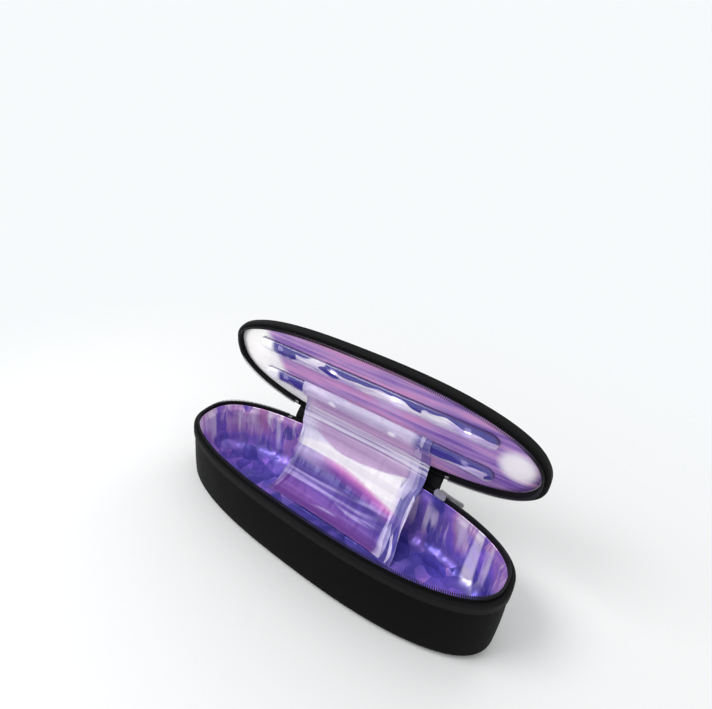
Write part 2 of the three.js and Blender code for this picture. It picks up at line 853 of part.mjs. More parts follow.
function makeSleeve(y) {
  const half = lampSpan / 2 + ledBoardEnd + 2 * ledBoardWidth;
  const top = liningFace - liningRidge / 2;
  const outer = sleeveSolid(y, half, sleeveWidth, sleeveHeight, top);
  const roomHalf = half - 2 * sleeveWall;
  const roomWidth = sleeveWidth - 2 * sleeveWall;
  const room = sleeveSolid(y, roomHalf, roomWidth, sleeveHeight - sleeveWall, top + fit);
  return cut(outer, room);
}

// Electronics inside the lid
function makeBattery() {
  const foot = lidBoardTop + fit;
  return boxBetween(
    [batteryPlace - batteryLength / 2, -batteryWidth / 2, foot],
    [batteryPlace + batteryLength / 2, batteryWidth / 2, foot + batteryThickness],
  );
}

function makeSensor() {
  const made = new THREE.CylinderGeometry(sensorRadius, sensorRadius, sensorLength, 12);
  return made.rotateZ(Math.PI / 2).translate(0, -sensorPlaceY, lidBoardTop + fit + sensorRadius);
}

const sensorPlaceY = halfWidth - lidShoulder + sensorRadius;

// Flat cable: one spine across the board, two tails down to the lamp rows, one up to the pod
function makeCable() {
  const foot = lidBoardTop + fit;
  const top = foot + cableThickness;
  const half = cableWidth / 2;
  const thin = cableThickness / 2;
  const spineStart = -sensorPlaceY + sensorRadius + fit;
  const spine = boxBetween([-half, spineStart, foot], [half, podPlaceY + thin, top]);
  const tails = [-lampRowOffset, lampRowOffset].map((y) =>
    boxBetween([-half, y - thin, liningFace], [half, y + thin, top]),
  );
  const riser = boxBetween([-half, podPlaceY - thin, foot], [half, podPlaceY + thin, lidTop]);
  const lead = boxBetween([batteryPlace + batteryLength / 2 + fit, -half, foot], [0, half, top]);
  return join(spine, ...tails, riser, lead);
}

// Control pod: a bevelled shell screwed through the lid panel to a plate inside it
const podFoot = lidTop + fit;
const podCeiling = podFoot + podHeight - podWall;
const controlTop = podFoot + controlBoardThickness;

function stadiumRing(length, width, z) {
  const radius = width / 2;
  const straight = length / 2 - radius;
  const perEnd = 8;
  const ring = [];
  for (const end of [1, -1]) {
    for (let i = 0; i <= perEnd; i++) {
      const angle = -Math.PI / 2 + (Math.PI * i) / perEnd;
      const x = end * (straight + radius * Math.cos(angle));
      ring.push(new THREE.Vector3(x, podPlaceY + end * radius * Math.sin(angle), z));
    }
  }
  return ring;
}

function makePodHousing() {
  const top = podFoot + podHeight;
  const bevelMid = podBevel * podBevelMidShare;
  const outer = lofted(
    [
      stadiumRing(podLength, podWidth, podFoot),
      stadiumRing(podLength, podWidth, top - podBevel),
      stadiumRing(podLength - 2 * bevelMid, podWidth - 2 * bevelMid, top - bevelMid),
      stadiumRing(podLength - 2 * podBevel, podWidth - 2 * podBevel, top),
    ],
    false,
  );
  const room = lofted(
    [
      stadiumRing(podLength - 2 * podWall, podWidth - 2 * podWall, podFoot - overrun),
      stadiumRing(podLength - 2 * podWall, podWidth - 2 * podWall, podCeiling),
    ],
    false,
  );
  const bossRadius = screwRadius + fit + bossWall;
  const bosses = screwPlaces().map((x) => rod(bossRadius, podCeiling - podFoot + podWall / 2, x, podFoot));
  const holeDepth = screwReach + overrun + fit;
  const holes = screwPlaces().map((x) => rod(screwRadius + fit, holeDepth, x, podFoot - overrun));
  const buttonHole = rod(buttonRadius + fit, podWall + 2 * overrun, buttonPlaceX, podCeiling - overrun, 24);
  const lensHole = rod(lensRadius + fit, podWall + 2 * overrun, lensPlaceX, podCeiling - overrun);
  const portHalf = inletWidth / 2 + fit;
  const podBack = podPlaceY + podWidth / 2;
  const port = boxBetween(
    [inletPlaceX - portHalf, podBack - podWall - overrun, controlTop],
    [inletPlaceX + portHalf, podBack + overrun, controlTop + fit + inletHeight + fit],
  );
  return cut(join(cut(outer, room), ...bosses), ...holes, buttonHole, lensHole, port);
}

function makeBackplate() {
  const top = lidCeiling - fit;
  const plate = lofted(
    [
      stadiumRing(backplateLength, backplateWidth, top - backplateThickness),
      stadiumRing(backplateLength, backplateWidth, top),
    ],
    false,
  );
  const hole = boxBetween(
    [-apertureLength / 2, podPlaceY - apertureWidth / 2, top - backplateThickness - overrun],
    [apertureLength / 2, podPlaceY + apertureWidth / 2, top + overrun],
  );
  const deep = backplateThickness + 2 * overrun;
  const holeFoot = top - backplateThickness - overrun;
  return cut(plate, hole, ...screwPlaces().map((x) => rod(screwRadius + fit, deep, x, holeFoot)));
}

function makeScrew(x) {
  const headFoot = lidCeiling - fit - backplateThickness - fit - screwHeadHeight;
  const head = rod(screwHeadRadius, screwHeadHeight, x, headFoot);
  const shankFoot = headFoot + screwHeadHeight / 2;
  const shank = rod(screwRadius, podFoot + screwReach - shankFoot, x, shankFoot, 10);
  return join(head, shank);
}

function makeControlBoard() {
  return boxBetween(
    [-controlBoardLength / 2, podPlaceY - controlBoardWidth / 2, podFoot],
    [controlBoardLength / 2, podPlaceY + controlBoardWidth / 2, controlTop],
  );
}

function makeSwitch() {
  const half = switchSize / 2;
  const foot = controlTop + fit;
  const body = boxBetween(
    [buttonPlaceX - half, podPlaceY - half, foot],
    [buttonPlaceX + half, podPlaceY + half, foot + switchHeight * switchBodyShare],
  );
  const plungerFoot = foot + switchHeight / 2;
  return join(body, rod(buttonStem * plungerShare, switchHeight / 2, buttonPlaceX, plungerFoot));
}

function makeButton() {
  const flangeTop = podCeiling - fit;
  const switchTop = controlTop + fit + switchHeight;
  const flangeFoot = flangeTop - buttonFlangeThickness;
  const flange = rod(buttonRadius + buttonFlange, buttonFlangeThickness, buttonPlaceX, flangeFoot, 24);
  const cap = rod(buttonRadius, podWall + fit + buttonProud + fit, buttonPlaceX, flangeTop - fit, 24);
  const stemFoot = switchTop + buttonTravel + fit;
  const stem = rod(buttonStem, flangeTop - fit - stemFoot, buttonPlaceX, stemFoot);
  return join(flange, cap, stem);
}

function makeLens() {
  const flangeTop = podCeiling - fit;
  const flange = rod(lensRadius + lensFlange, lensFlange, lensPlaceX, flangeTop - lensFlange);
  return join(flange, rod(lensRadius, podWall + 2 * fit, lensPlaceX, flangeTop - fit));
}

function makeInlet() {
  const mouth = podPlaceY + podWidth / 2 - fit;
  const foot = controlTop + fit;
  const half = inletWidth / 2;
  const shell = boxBetween(
    [inletPlaceX - half, mouth - inletDepth, foot],
    [inletPlaceX + half, mouth, foot + inletHeight],
  );
  const inside = boxBetween(
    [inletPlaceX - half + inletWall, mouth - inletDepth + inletWall, foot + inletWall],
    [inletPlaceX + half - inletWall, mouth + overrun, foot + inletHeight - inletWall],
  );
  const tongue = boxBetween(
    [inletPlaceX - half / 2, mouth - inletDepth, foot + inletHeight / 2 - inletWall / 2],
    [inletPlaceX + half / 2, mouth - 2 * inletWall, foot + inletHeight / 2 + inletWall / 2],
  );
  return join(cut(shell, inside), tongue);
}

// The case: the tray's pieces stand in its own frame, the lid's turn about the hinge line
const sterilizerCase = new THREE.Group();
const lid = new THREE.Group();
lid.position.set(0, hingeY, splitHeight);
lid.rotation.x = -opening;
const closedLid = new THREE.Group();
closedLid.position.set(0, -hingeY, -splitHeight);
lid.add(closedLid);
sterilizerCase.add(lid);

function place(parent, name, geometry, material) {
  const mesh = new THREE.Mesh(geometry, material);
  mesh.name = name;
  parent.add(mesh);
}

const baseTapeFoot = baseHeight - baseTapeSeat + fit;
const baseTapeHead = splitHeight - teethRoot - fit;
place(sterilizerCase, "base_shell", makeBaseShell(), blackShell);
place(sterilizerCase, "base_rim_binding", makeBaseBinding(), blackBand);
place(sterilizerCase, "base_zip_tape", makeTape(baseTapeFoot, baseTapeHead), blackTape);
place(sterilizerCase, "base_zip_teeth", makeTeeth(-1), toothNylon);
place(sterilizerCase, "base_zip_stop_left", makeZipStop(-1, -1), sliderMetal);
place(sterilizerCase, "base_zip_stop_right", makeZipStop(1, -1), sliderMetal);
place(sterilizerCase, "base_foil_lining", makeFoil(), foil);
place(sterilizerCase, "base_board", makeBaseBoard(), boardPlastic);
place(sterilizerCase, "closing_magnet", makeMagnet(), metal);
place(sterilizerCase, "zip_slider", makeSlider(), sliderMetal);
place(sterilizerCase, "zip_pull", makePull(), sliderMetal);
place(sterilizerCase, "hinge_strip", makeHingeStrip(), blackTape);
place(sterilizerCase, "film_bridge", makeFilm(), filmClear);

place(closedLid, "lid_panel", makeLidPanel(), blackShell);
place(closedLid, "lid_rim_binding", makeLidBinding(), blackBand);
place(closedLid, "lid_zip_tape", makeTape(splitHeight + teethRoot + fit, lidRim + lidTapeSeat), blackTape);
place(closedLid, "lid_zip_teeth", makeTeeth(1), toothNylon);
place(closedLid, "lid_zip_stop_left", makeZipStop(-1, 1), sliderMetal);
place(closedLid, "lid_zip_stop_right", makeZipStop(1, 1), sliderMetal);
place(closedLid, "lid_lining", makeLidLining(), lidFoil);
place(closedLid, "lid_board", makeLidBoard(), boardPlastic);
[
  ["lower", lampRowOffset],
  ["upper", -lampRowOffset],
].forEach(([row, y]) => {
  place(closedLid, "led_board_" + row, makeLedBoard(y), boardWhite);
  place(closedLid, "led_sleeve_" + row, makeSleeve(y), sleeveClear);
  for (let i = 0; i < lampsPerRow; i++) {
    const lamp = makeLamp(i * lampSpacing - lampSpan / 2, y);
    place(closedLid, "uv_led_" + row + "_" + (i + 1), lamp, lampCeramic);
  }
});
place(closedLid, "battery_cell", makeBattery(), cellWrap);
place(closedLid, "lid_sensor", makeSensor(), metal);
place(closedLid, "led_cable", makeCable(), boardWhite);
place(closedLid, "control_housing", makePodHousing(), podPlastic);
place(closedLid, "control_backplate", makeBackplate(), podPlastic);
screwPlaces().forEach((x) => {
  place(closedLid, "control_screw_" + (x < 0 ? "left" : "right"), makeScrew(x), metal);
});
place(closedLid, "control_board", makeControlBoard(), circuitGreen);
place(closedLid, "button_switch", makeSwitch(), metal);
place(closedLid, "power_button", makeButton(), buttonPlastic);
place(closedLid, "indicator_lens", makeLens(), sleeveClear);
place(closedLid, "usb_inlet", makeInlet(), metal);

export default sterilizerCase;
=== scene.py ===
import math
import random
from contextlib import contextmanager

import bpy
from mathutils import Matrix, Vector, noise


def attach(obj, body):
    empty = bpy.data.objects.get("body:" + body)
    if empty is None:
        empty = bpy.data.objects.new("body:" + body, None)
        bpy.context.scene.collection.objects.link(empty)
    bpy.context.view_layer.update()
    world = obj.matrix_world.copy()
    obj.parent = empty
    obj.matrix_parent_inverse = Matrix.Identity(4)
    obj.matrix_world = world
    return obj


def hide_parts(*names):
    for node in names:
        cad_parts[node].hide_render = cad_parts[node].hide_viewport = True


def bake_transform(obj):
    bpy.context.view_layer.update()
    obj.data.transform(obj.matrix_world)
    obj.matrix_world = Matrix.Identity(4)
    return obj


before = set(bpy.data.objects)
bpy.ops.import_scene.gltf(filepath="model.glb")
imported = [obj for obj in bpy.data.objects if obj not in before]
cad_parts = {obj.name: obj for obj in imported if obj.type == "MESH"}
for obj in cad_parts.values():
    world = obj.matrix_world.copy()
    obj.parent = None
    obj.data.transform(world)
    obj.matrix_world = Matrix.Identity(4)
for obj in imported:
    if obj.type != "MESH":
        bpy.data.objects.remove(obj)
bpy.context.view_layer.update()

random.seed(11)
noise.seed_set(11)

# The case as the frame has it, in metres: the lid is written closed and then opened
case = {
    "halfLength": 0.1725,
    "halfWidth": 0.0625,
    "outlinePower": 2.5,
    "baseHeight": 0.062,
    "splitHeight": 0.067,
    "lidRim": 0.072,
    "hingeY": 0.06455,
    "openingDegrees": 72,
    "hingeHalfLength": 0.088,
    "tapeEndGap": 0.003,
    "tapeInset": 0.0035,
    "tapeThickness": 0.0008,
    "foilInset": 0.0046,
    "liningFace": 0.0736,
    "lampRowOffset": 0.022,
}
mm = 0.001
upwards = Vector((0, 0, 1))
fineSteps = 2400


def station(angle):
    # A point of the oval and the direction outwards from it
    power = case["outlinePower"]
    point = []
    slope = []
    for half, part in ((case["halfLength"], math.cos(angle)), (case["halfWidth"], math.sin(angle))):
        point.append(half * math.copysign(abs(part) ** (2 / power), part))
        slope.append(math.copysign(abs(point[-1] / half) ** (power - 1), part) / half)
    return Vector((*point, 0)), Vector((*slope, 0)).normalized()


def evenly(points, count):
    # Equal steps of length along a line of points: the stretch, the share of it and the way so far
    lengths = [0.0]
    for a, b in zip(points, points[1:]):
        lengths.append(lengths[-1] + (b - a).length)
    i = 1
    for k in range(count + 1):
        want = lengths[-1] * k / count
        while i < len(points) - 1 and lengths[i] < want:
            i += 1
        yield i, (want - lengths[i - 1]) / (lengths[i] - lengths[i - 1]), want


def run(count, start=0.0, end=2 * math.pi):
    # Stations at equal steps of length along the oval, each with its distance from the start
    angles = [start + (end - start) * i / fineSteps for i in range(fineSteps + 1)]
    made = []
    for i, share, want in evenly([station(a)[0] for a in angles], count):
        point, normal = station(angles[i - 1] + (angles[i] - angles[i - 1]) * share)
        made.append((point, normal, want))
    return made


def curve(points, count, steps=16):
    # Points along a smooth line through the given ones, at equal steps of length
    fine = []
    padded = [points[0] * 2 - points[1]] + points + [points[-1] * 2 - points[-2]]
    for i in range(1, len(padded) - 2):
        a, b, c, d = padded[i - 1 : i + 3]
        for k in range(steps):
            t = k / steps
            square = (2 * a - 5 * b + 4 * c - d) * t * t
            fine.append(0.5 * ((2 * b) + (c - a) * t + square + (3 * b - a - 3 * c + d) * t ** 3))
    fine.append(points[-1].copy())
    return [(fine[i - 1].lerp(fine[i], share), want) for i, share, want in evenly(fine, count)]


# The zip runs from the hinge's right end round the front to its left end
zipReachShare = (case["hingeHalfLength"] + case["tapeEndGap"]) / case["halfLength"]
zipStart = math.acos(zipReachShare ** (case["outlinePower"] / 2))
zipEnd = -math.pi - zipStart
ovalLength = run(1)[-1][2]


def outlineY(x):
    share = abs(x / case["halfLength"]) ** case["outlinePower"]
    return case["halfWidth"] * (1 - share) ** (1 / case["outlinePower"])


def placed(at, inset, z):
    point, normal = at[:2]
    return Vector((point.x - normal.x * inset, point.y - normal.y * inset, z))


def ring(stations, inset, z):
    return [placed(at, inset, z) for at in stations]


def towardsMiddle(point, share, z):
    # From a point of a ring to the case's own middle line
    middle = Vector((point.x * (1 - case["halfWidth"] / case["halfLength"]), 0, 0))
    mixed = point.lerp(middle, share)
    return Vector((mixed.x, mixed.y, z))


def opened(point):
    # A point of the closed lid, where the open lid has it
    turn = math.radians(case["openingDegrees"])
    dy = point.y - case["hingeY"]
    dz = point.z - case["splitHeight"]
    y = case["hingeY"] + dy * math.cos(turn) + dz * math.sin(turn)
    z = case["splitHeight"] - dy * math.sin(turn) + dz * math.cos(turn)
    return Vector((point.x, y, z))


def upright(origin, ahead, up, opening=False):
    # The matrix of a place whose X looks ahead and Z up, written on the closed lid if opening is set
    if opening:
        start = opened(origin)
        ahead = opened(origin + ahead) - start
        up = opened(origin + up) - start
        origin = start
    ahead = ahead.normalized()
    side = up.cross(ahead).normalized()
    turn = Matrix((ahead, side, ahead.cross(side))).transposed().to_4x4()
    return Matrix.Translation(origin) @ turn


def smooth(low, high, value):
    share = min(1.0, max(0.0, (value - low) / (high - low)))
    return share * share * (3 - 2 * share)


def linked(name, data):
    piece = bpy.data.objects.new(name, data)
    bpy.context.scene.collection.objects.link(piece)
    return piece


def meshed(name, points, faces):
    mesh = bpy.data.meshes.new(name)
    mesh.from_pydata([tuple(p) for p in points], [], faces)
    mesh.update()
    return linked(name, mesh)


def skin(name, rows, wrapAcross=False, wrapAlong=False, places=None, flip=False):
    # A mesh of four-sided faces over rows of points; places gives where each one lies on the flat cloth
    width = len(rows[0])
    rowCount = len(rows) if wrapAlong else len(rows) - 1
    columnCount = width if wrapAcross else width - 1
    faces = []
    corners = []
    for r in range(rowCount):
        for c in range(columnCount):
            square = [(r, c), (r, c + 1), (r + 1, c + 1), (r + 1, c)]
            if flip:
                square.reverse()
            faces.append([a % len(rows) * width + b % width for a, b in square])
            corners.extend(square)
    piece = meshed(name, [p for row in rows for p in row], faces)
    if places:
        layer = piece.data.uv_layers.new(name="cloth")
        for loop, (r, c) in enumerate(corners):
            layer.data[loop].uv = places[r][c]
    piece.data.shade_smooth()
    return piece


def scattered(name, sample, places):
    # Copies one modelled sample to each place, as one mesh, and removes the sample
    verts = [v.co.copy() for v in sample.data.vertices]
    polygons = [list(p.vertices) for p in sample.data.polygons]
    points = []
    faces = []
    for place in places:
        first = len(points)
        points.extend(place @ v for v in verts)
        faces.extend([first + i for i in polygon] for polygon in polygons)
    bpy.data.objects.remove(sample)
    return meshed(name, points, faces)


def deselect():
    if bpy.context.object and bpy.context.object.mode != "OBJECT":
        bpy.ops.object.mode_set(mode="OBJECT")
    bpy.ops.object.select_all(action="DESELECT")


def picked(piece):
    deselect()
    piece.select_set(True)
    bpy.context.view_layer.objects.active = piece


@contextmanager
def editing(piece, kind="FACE", chosen=None):
    # A piece in edit mode with all of it selected, or only the faces or edges that are chosen
    picked(piece)
    bpy.ops.object.mode_set(mode="EDIT")
    bpy.ops.mesh.select_mode(type=kind)
    bpy.ops.mesh.select_all(action="DESELECT" if chosen else "SELECT")
    if chosen:
        bpy.ops.object.mode_set(mode="OBJECT")
        for part in piece.data.polygons if kind == "FACE" else piece.data.edges:
            part.select = chosen(part)
        bpy.ops.object.mode_set(mode="EDIT")
    yield
    bpy.ops.object.mode_set(mode="OBJECT")


def span(piece, edge, axis=2):
    # Where an edge starts and ends along one axis
    return sorted(piece.data.vertices[i].co[axis] for i in edge.vertices)


def bevelled(piece, chosen, radius, steps=1):
    with editing(piece, "EDGE", chosen):
        bpy.ops.mesh.bevel(offset=radius, segments=steps, affect="EDGES")


def merged(piece, outwards=True):
    with editing(piece):
        bpy.ops.mesh.remove_doubles(threshold=0.01 * mm)
        if outwards:
            bpy.ops.mesh.normals_make_consistent(inside=False)
    return piece


def applied(piece, kind, **settings):
    picked(piece)
    modifier = piece.modifiers.new(kind.lower(), kind)
    for key, value in settings.items():
        setattr(modifier, key, value)
    bpy.ops.object.modifier_apply(modifier=modifier.name)
    piece.select_set(False)
    return piece


def dressed(piece, look):
    piece.data.materials.clear()
    piece.data.materials.append(look)


def finished(piece, look, body=None, stands=()):
    dressed(piece, look)
    if body:
        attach(piece, body)
    if stands:
        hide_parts(*stands)


# Shader maths: expressions on values add their Math nodes
class Value:
    def __init__(self, look, socket):
        self.look = look
        self.socket = socket

    def worked(self, operation, *terms):
        return self.look.add("Math", {"operation": operation}, dict(enumerate(terms)))

    def __add__(self, other):
        return self.worked("ADD", self, other)

    def __radd__(self, other):
        return self.worked("ADD", other, self)

    def __sub__(self, other):
        return self.worked("SUBTRACT", self, other)

    def __rsub__(self, other):
        return self.worked("SUBTRACT", other, self)

    def __mul__(self, other):
        return self.worked("MULTIPLY", self, other)

    def __rmul__(self, other):
        return self.worked("MULTIPLY", other, self)

    def __truediv__(self, other):
        return self.worked("DIVIDE", self, other)

    def __pow__(self, other):
        return self.worked("POWER", self, other)

    def atLeast(self, other):
        return self.worked("MAXIMUM", self, other)

    def wave(self):
        return self.worked("SINE", self) * 0.5 + 0.5

    def size(self):
        return self.worked("ABSOLUTE", self)

    def within(self, low, high):
        sockets = {0: self, 1: low, 2: high, 3: 0.0, 4: 1.0}
        return self.look.add("MapRange", {"interpolation_type": "SMOOTHSTEP"}, sockets)


class Look:
    def __init__(self, name, owners="materials", shader="Principled BSDF", **constants):
        self.owner = getattr(bpy.data, owners).new(name)
        self.owner.use_nodes = True
        self.tree = self.owner.node_tree
        self.shader = self.tree.nodes[shader]
        for socket, value in constants.items():
            self.shader.inputs[socket.replace("_", " ")].default_value = value

    def add(self, kind, settings=None, sockets=None, output=0):
        node = self.tree.nodes.new("ShaderNode" + kind)
        for key, value in (settings or {}).items():
            if key == "stops":
                ramp = node.color_ramp
                while len(ramp.elements) < len(value):
                    ramp.elements.new(0.5)
                for element, (place, *colour) in zip(ramp.elements, value):
                    element.position = place
                    element.color = (*colour, 1)
            else:
                setattr(node, key, value)
        for socket, value in (sockets or {}).items():
            if isinstance(value, Value):
                self.tree.links.new(value.socket, node.inputs[socket])
            else:
                node.inputs[socket].default_value = value
        return Value(self, node.outputs[output])

    def places(self, scale=(1, 1, 1), turn=(0, 0, 0), move=(0, 0, 0), output=3):
        spot = self.add("TexCoord", output=output)
        return self.add("Mapping", {}, {0: spot, 1: move, 2: turn, 3: scale})

    def onCloth(self, scale=(1, 1, 1), **more):
        return self.places(scale, output=2, **more)

    def axes(self, spot):
        outputs = self.add("SeparateXYZ", {}, {0: spot}).socket.node.outputs
        return [Value(self, socket) for socket in outputs]

    def vectors(self, operation, *terms, output=0):
        return self.add("VectorMath", {"operation": operation}, dict(enumerate(terms)), output)

    def clouds(self, spot, scale, detail=3.0, roughness=0.5, distortion=0.0, output=0):
        sockets = {"Vector": spot, "Scale": scale, "Detail": detail, "Roughness": roughness}
        return self.add("TexNoise", {}, {**sockets, "Distortion": distortion}, output)

    def cells(self, spot, scale, feature="F1", output=0):
        return self.add("TexVoronoi", {"feature": feature}, {"Vector": spot, "Scale": scale}, output)

    def facets(self, spot, scale):
        # Flat cells that each lean their own way: their height, and each cell's own random colour
        shade = self.cells(spot, scale, output=1)
        centre = self.cells(spot, scale, output=2)
        lean = self.vectors("SUBTRACT", shade, (0.5, 0.5, 0.5))
        return self.vectors("DOT_PRODUCT", lean, self.vectors("SUBTRACT", spot, centre), output=1), shade

    def ramp(self, value, stops):
        return self.add("ValToRGB", {"stops": stops}, {0: value})

    def blend(self, factor, below, above):
        below, above = [(*v, 1) if isinstance(v, tuple) else v for v in (below, above)]
        return self.add("Mix", {"data_type": "RGBA"}, {0: factor, 6: below, 7: above}, 2)

    def layered(self, colour, *layers):
        # Colours laid over one another, each as far as its own factor says
        for factor, above in layers:
            colour = self.blend(factor, colour, above)
        return colour

    def bumped(self, height, distance, strength=1.0, under=None):
        sockets = {"Height": height, "Distance": distance, "Strength": strength}
        if under:
            sockets["Normal"] = under
        return self.add("Bump", {}, sockets)

    def partly(self, factor, other, output):
        # The other shader takes the place of the look's own as far as the factor says
        own = Value(self, self.shader.outputs[0])
        mix = self.add("MixShader", {}, {0: factor, 1: own, 2: other})
        self.tree.links.new(mix.socket, self.tree.nodes[output].inputs["Surface"])

    def feed(self, **values):
        for socket, value in values.items():
            self.tree.links.new(value.socket, self.shader.inputs[socket.replace("_", " ")])
        return self.owner


print("camera, light and floor")
cameraView = {
    "azimuth": 36.83,
    "elevation": 20.45,
    "roll": 4.58,
    "focalPixels": 483.5,
    "centrePixels": (296.0, 294.0),
    "offset": (0.0273, 0.2389, 0.4927),
    "picturePixels": (712, 709),
    "sensorWidth": 36.0,
    "clip": (0.01, 20),
}


def makeCamera():
    around, above, roll = [math.radians(cameraView[key]) for key in ("azimuth", "elevation", "roll")]
    back = Vector((math.sin(around) * math.cos(above), -math.cos(around) * math.cos(above), math.sin(above)))
    right = (-back).cross(upwards).normalized()
    down = (-back).cross(right)
    across = math.cos(roll) * right - math.sin(roll) * down
    lower = math.sin(roll) * right + math.cos(roll) * down
    dx, dy, depth = cameraView["offset"]
    width, height = cameraView["picturePixels"]
    centreX, centreY = cameraView["centrePixels"]
    data = bpy.data.cameras.new("pictureCamera")
    camera = linked("pictureCamera", data)
    turn = Matrix((across, -lower, back)).transposed().to_4x4()
    camera.matrix_world = Matrix.Translation(-(dx * across + dy * lower - depth * back)) @ turn
    data.sensor_width = cameraView["sensorWidth"]
    data.lens = cameraView["focalPixels"] * data.sensor_width / width
    data.shift_x = (width / 2 - centreX) / width
    data.shift_y = (centreY - height / 2) / width
    data.clip_start, data.clip_end = cameraView["clip"]
    bpy.context.scene.camera = camera


studio = {
    "lights": {
        "key": {"place": (-0.75, -0.85, 1.35), "size": 0.9, "watts": 13.5, "aim": (0, 0, 0.05)},
        "fill": {"place": (1.3, -0.7, 0.7), "size": 1.2, "watts": 2.0, "aim": (0, 0, 0.06)},
        "rear": {"place": (0.3, 1.4, 1.1), "size": 1.0, "watts": 4.0, "aim": (0, 0, 0.1)},
    },
    "sky": 0.62,
    "backdrop": (0.93, 0.955, 0.97, 1),
    "floor": (0.965, 0.975, 0.98),
    "floorRadii": (5.0, 2.5, 1.0, 0.3, 0),
    "floorSides": 48,
    "paperReach": (0.24, 0.75),
}


def makeStudio():
    for name, kind in studio["lights"].items():
        data = bpy.data.lights.new(name, "AREA")
        data.shape = "DISK"
        data.size = kind["size"]
        data.energy = kind["watts"]
        light = linked(name, data)
        light.location = kind["place"]
        light.rotation_mode = "QUATERNION"
        light.rotation_quaternion = (Vector(kind["aim"]) - light.location).to_track_quat("-Z", "Y")
    sky = Look("studioWorld", "worlds", "Background", Color=(1, 1, 1, 1), Strength=studio["sky"])
    shown = sky.add("Background", {}, {"Color": studio["backdrop"], "Strength": 1.0})
    seen = sky.add("LightPath").atLeast(sky.add("LightPath", output=3))
    sky.partly(seen, shown, "World Output")
    bpy.context.scene.world = sky.owner
    bpy.context.scene.view_settings.view_transform = "Standard"


def makeFloor():
    # A round sheet of paper, which passes into the backdrop's colour well away from the case
    angles = [2 * math.pi * i / studio["floorSides"] for i in range(studio["floorSides"])]
    rows = []
    for radius in studio["floorRadii"]:
        rows.append([Vector((radius * math.cos(a), radius * math.sin(a), 0)) for a in angles])
    floor = merged(skin("studioFloor", rows, wrapAcross=True))
    paper = Look("studioFloorPaper", Roughness=0.85, Specular_IOR_Level=0.1)
    spot = paper.places()
    darker = tuple(v * 0.985 for v in studio["floor"])
    x, y = paper.axes(spot)[:2]
    away = ((x * x + y * y) ** 0.5).within(*studio["paperReach"])
    pale = paper.add("Emission", {}, {"Color": studio["backdrop"]})
    paper.partly(away * paper.add("LightPath"), pale, "Material Output")
    dressed(floor, paper.feed(Base_Color=paper.blend(paper.clouds(spot, 3.0), studio["floor"], darker)))


makeCamera()
makeStudio()
makeFloor()

print("finishes")


def coverFinish():
    # Smooth black stretch cloth glued over foam: fine knit, faint rubbed patches
    look = Look("coverCloth", Specular_IOR_Level=0.035, Sheen_Weight=0.005, Sheen_Roughness=0.4)
    spot = look.places()
    rubbed = look.clouds(spot, 9.0, 4.0).within(0.52, 0.78)
    lint = look.clouds(spot, 60.0, 2.0)
    knit = look.add("TexWave", {"wave_type": "BANDS"}, {"Vector": spot, "Scale": 520.0, "Distortion": 0.4})
    colour = look.blend(rubbed, (0.0018, 0.0018, 0.002), (0.0034, 0.0034, 0.0037))
    soft = look.bumped(look.clouds(spot, 26.0), 0.6 * mm, 0.35)
    return look.feed(
        Base_Color=look.blend(lint * 0.2, colour, (0.011, 0.011, 0.012)),
        Roughness=0.5 + rubbed * 0.1 + lint * 0.06,
        Normal=look.bumped(knit * 0.5 + look.clouds(spot, 900.0, 2.0), 0.06 * mm, 0.5, soft),
    )


def bindingFinish():
    # Ribbed black tape: ribs run across its length
    look = Look("bindingTape", Specular_IOR_Level=0.12, Sheen_Weight=0.02, Sheen_Roughness=0.4)
    u, v = look.axes(look.onCloth())[:2]
    ribs = (u * 7200.0).wave()
    dust = look.clouds(look.places(), 40.0)
    return look.feed(
        Base_Color=look.blend(dust * 0.5 + ribs * 0.3, (0.002, 0.002, 0.0024), (0.0055, 0.0055, 0.0062)),
        Roughness=0.58 + dust * 0.15,
        Normal=look.bumped(ribs + (v * 11000.0).wave() * 0.3, 0.09 * mm, 0.7),
    )


def tapeFinish():
    # Woven zip tape in a fine herringbone
    look = Look("wovenTape", Specular_IOR_Level=0.12, Sheen_Weight=0.02)
    u, v = look.axes(look.onCloth())[:2]
    twill = ((u + v.worked("PINGPONG", v, 1.3 * mm) * 1.6) * 8600.0).wave()
    dust = look.clouds(look.places(), 55.0)
    return look.feed(
        Base_Color=look.blend(twill * 0.6 + dust * 0.4, (0.003, 0.003, 0.004), (0.011, 0.0105, 0.014)),
        Roughness=0.72 + dust * 0.12,
        Normal=look.bumped(twill, 0.08 * mm, 0.8),
    )


def nylonFinish():
    look = Look("toothNylon", Specular_IOR_Level=0.3)
    spot = look.places()
    shade = look.clouds(spot, 130.0, 2.0)
    return look.feed(
        Base_Color=look.blend(shade, (0.007, 0.007, 0.009), (0.022, 0.02, 0.028)),
        Roughness=0.32 + shade * 0.2,
        Normal=look.bumped(look.clouds(spot, 1400.0, 2.0), 0.03 * mm, 0.5),
    )


def metalFinish(name, colour, rough, metallic=1.0):
    look = Look(name, Metallic=metallic)
    brushed = look.clouds(look.places(scale=(0.06, 1, 1)), 900.0)
    worn = look.clouds(look.places(), 240.0).within(0.45, 0.7)
    return look.feed(
        Base_Color=look.blend(worn, colour, tuple(c * 0.72 for c in colour)),
        Roughness=rough + brushed * 0.12 + worn * 0.12,
        Normal=look.bumped(brushed, 0.02 * mm, 0.4),
    )


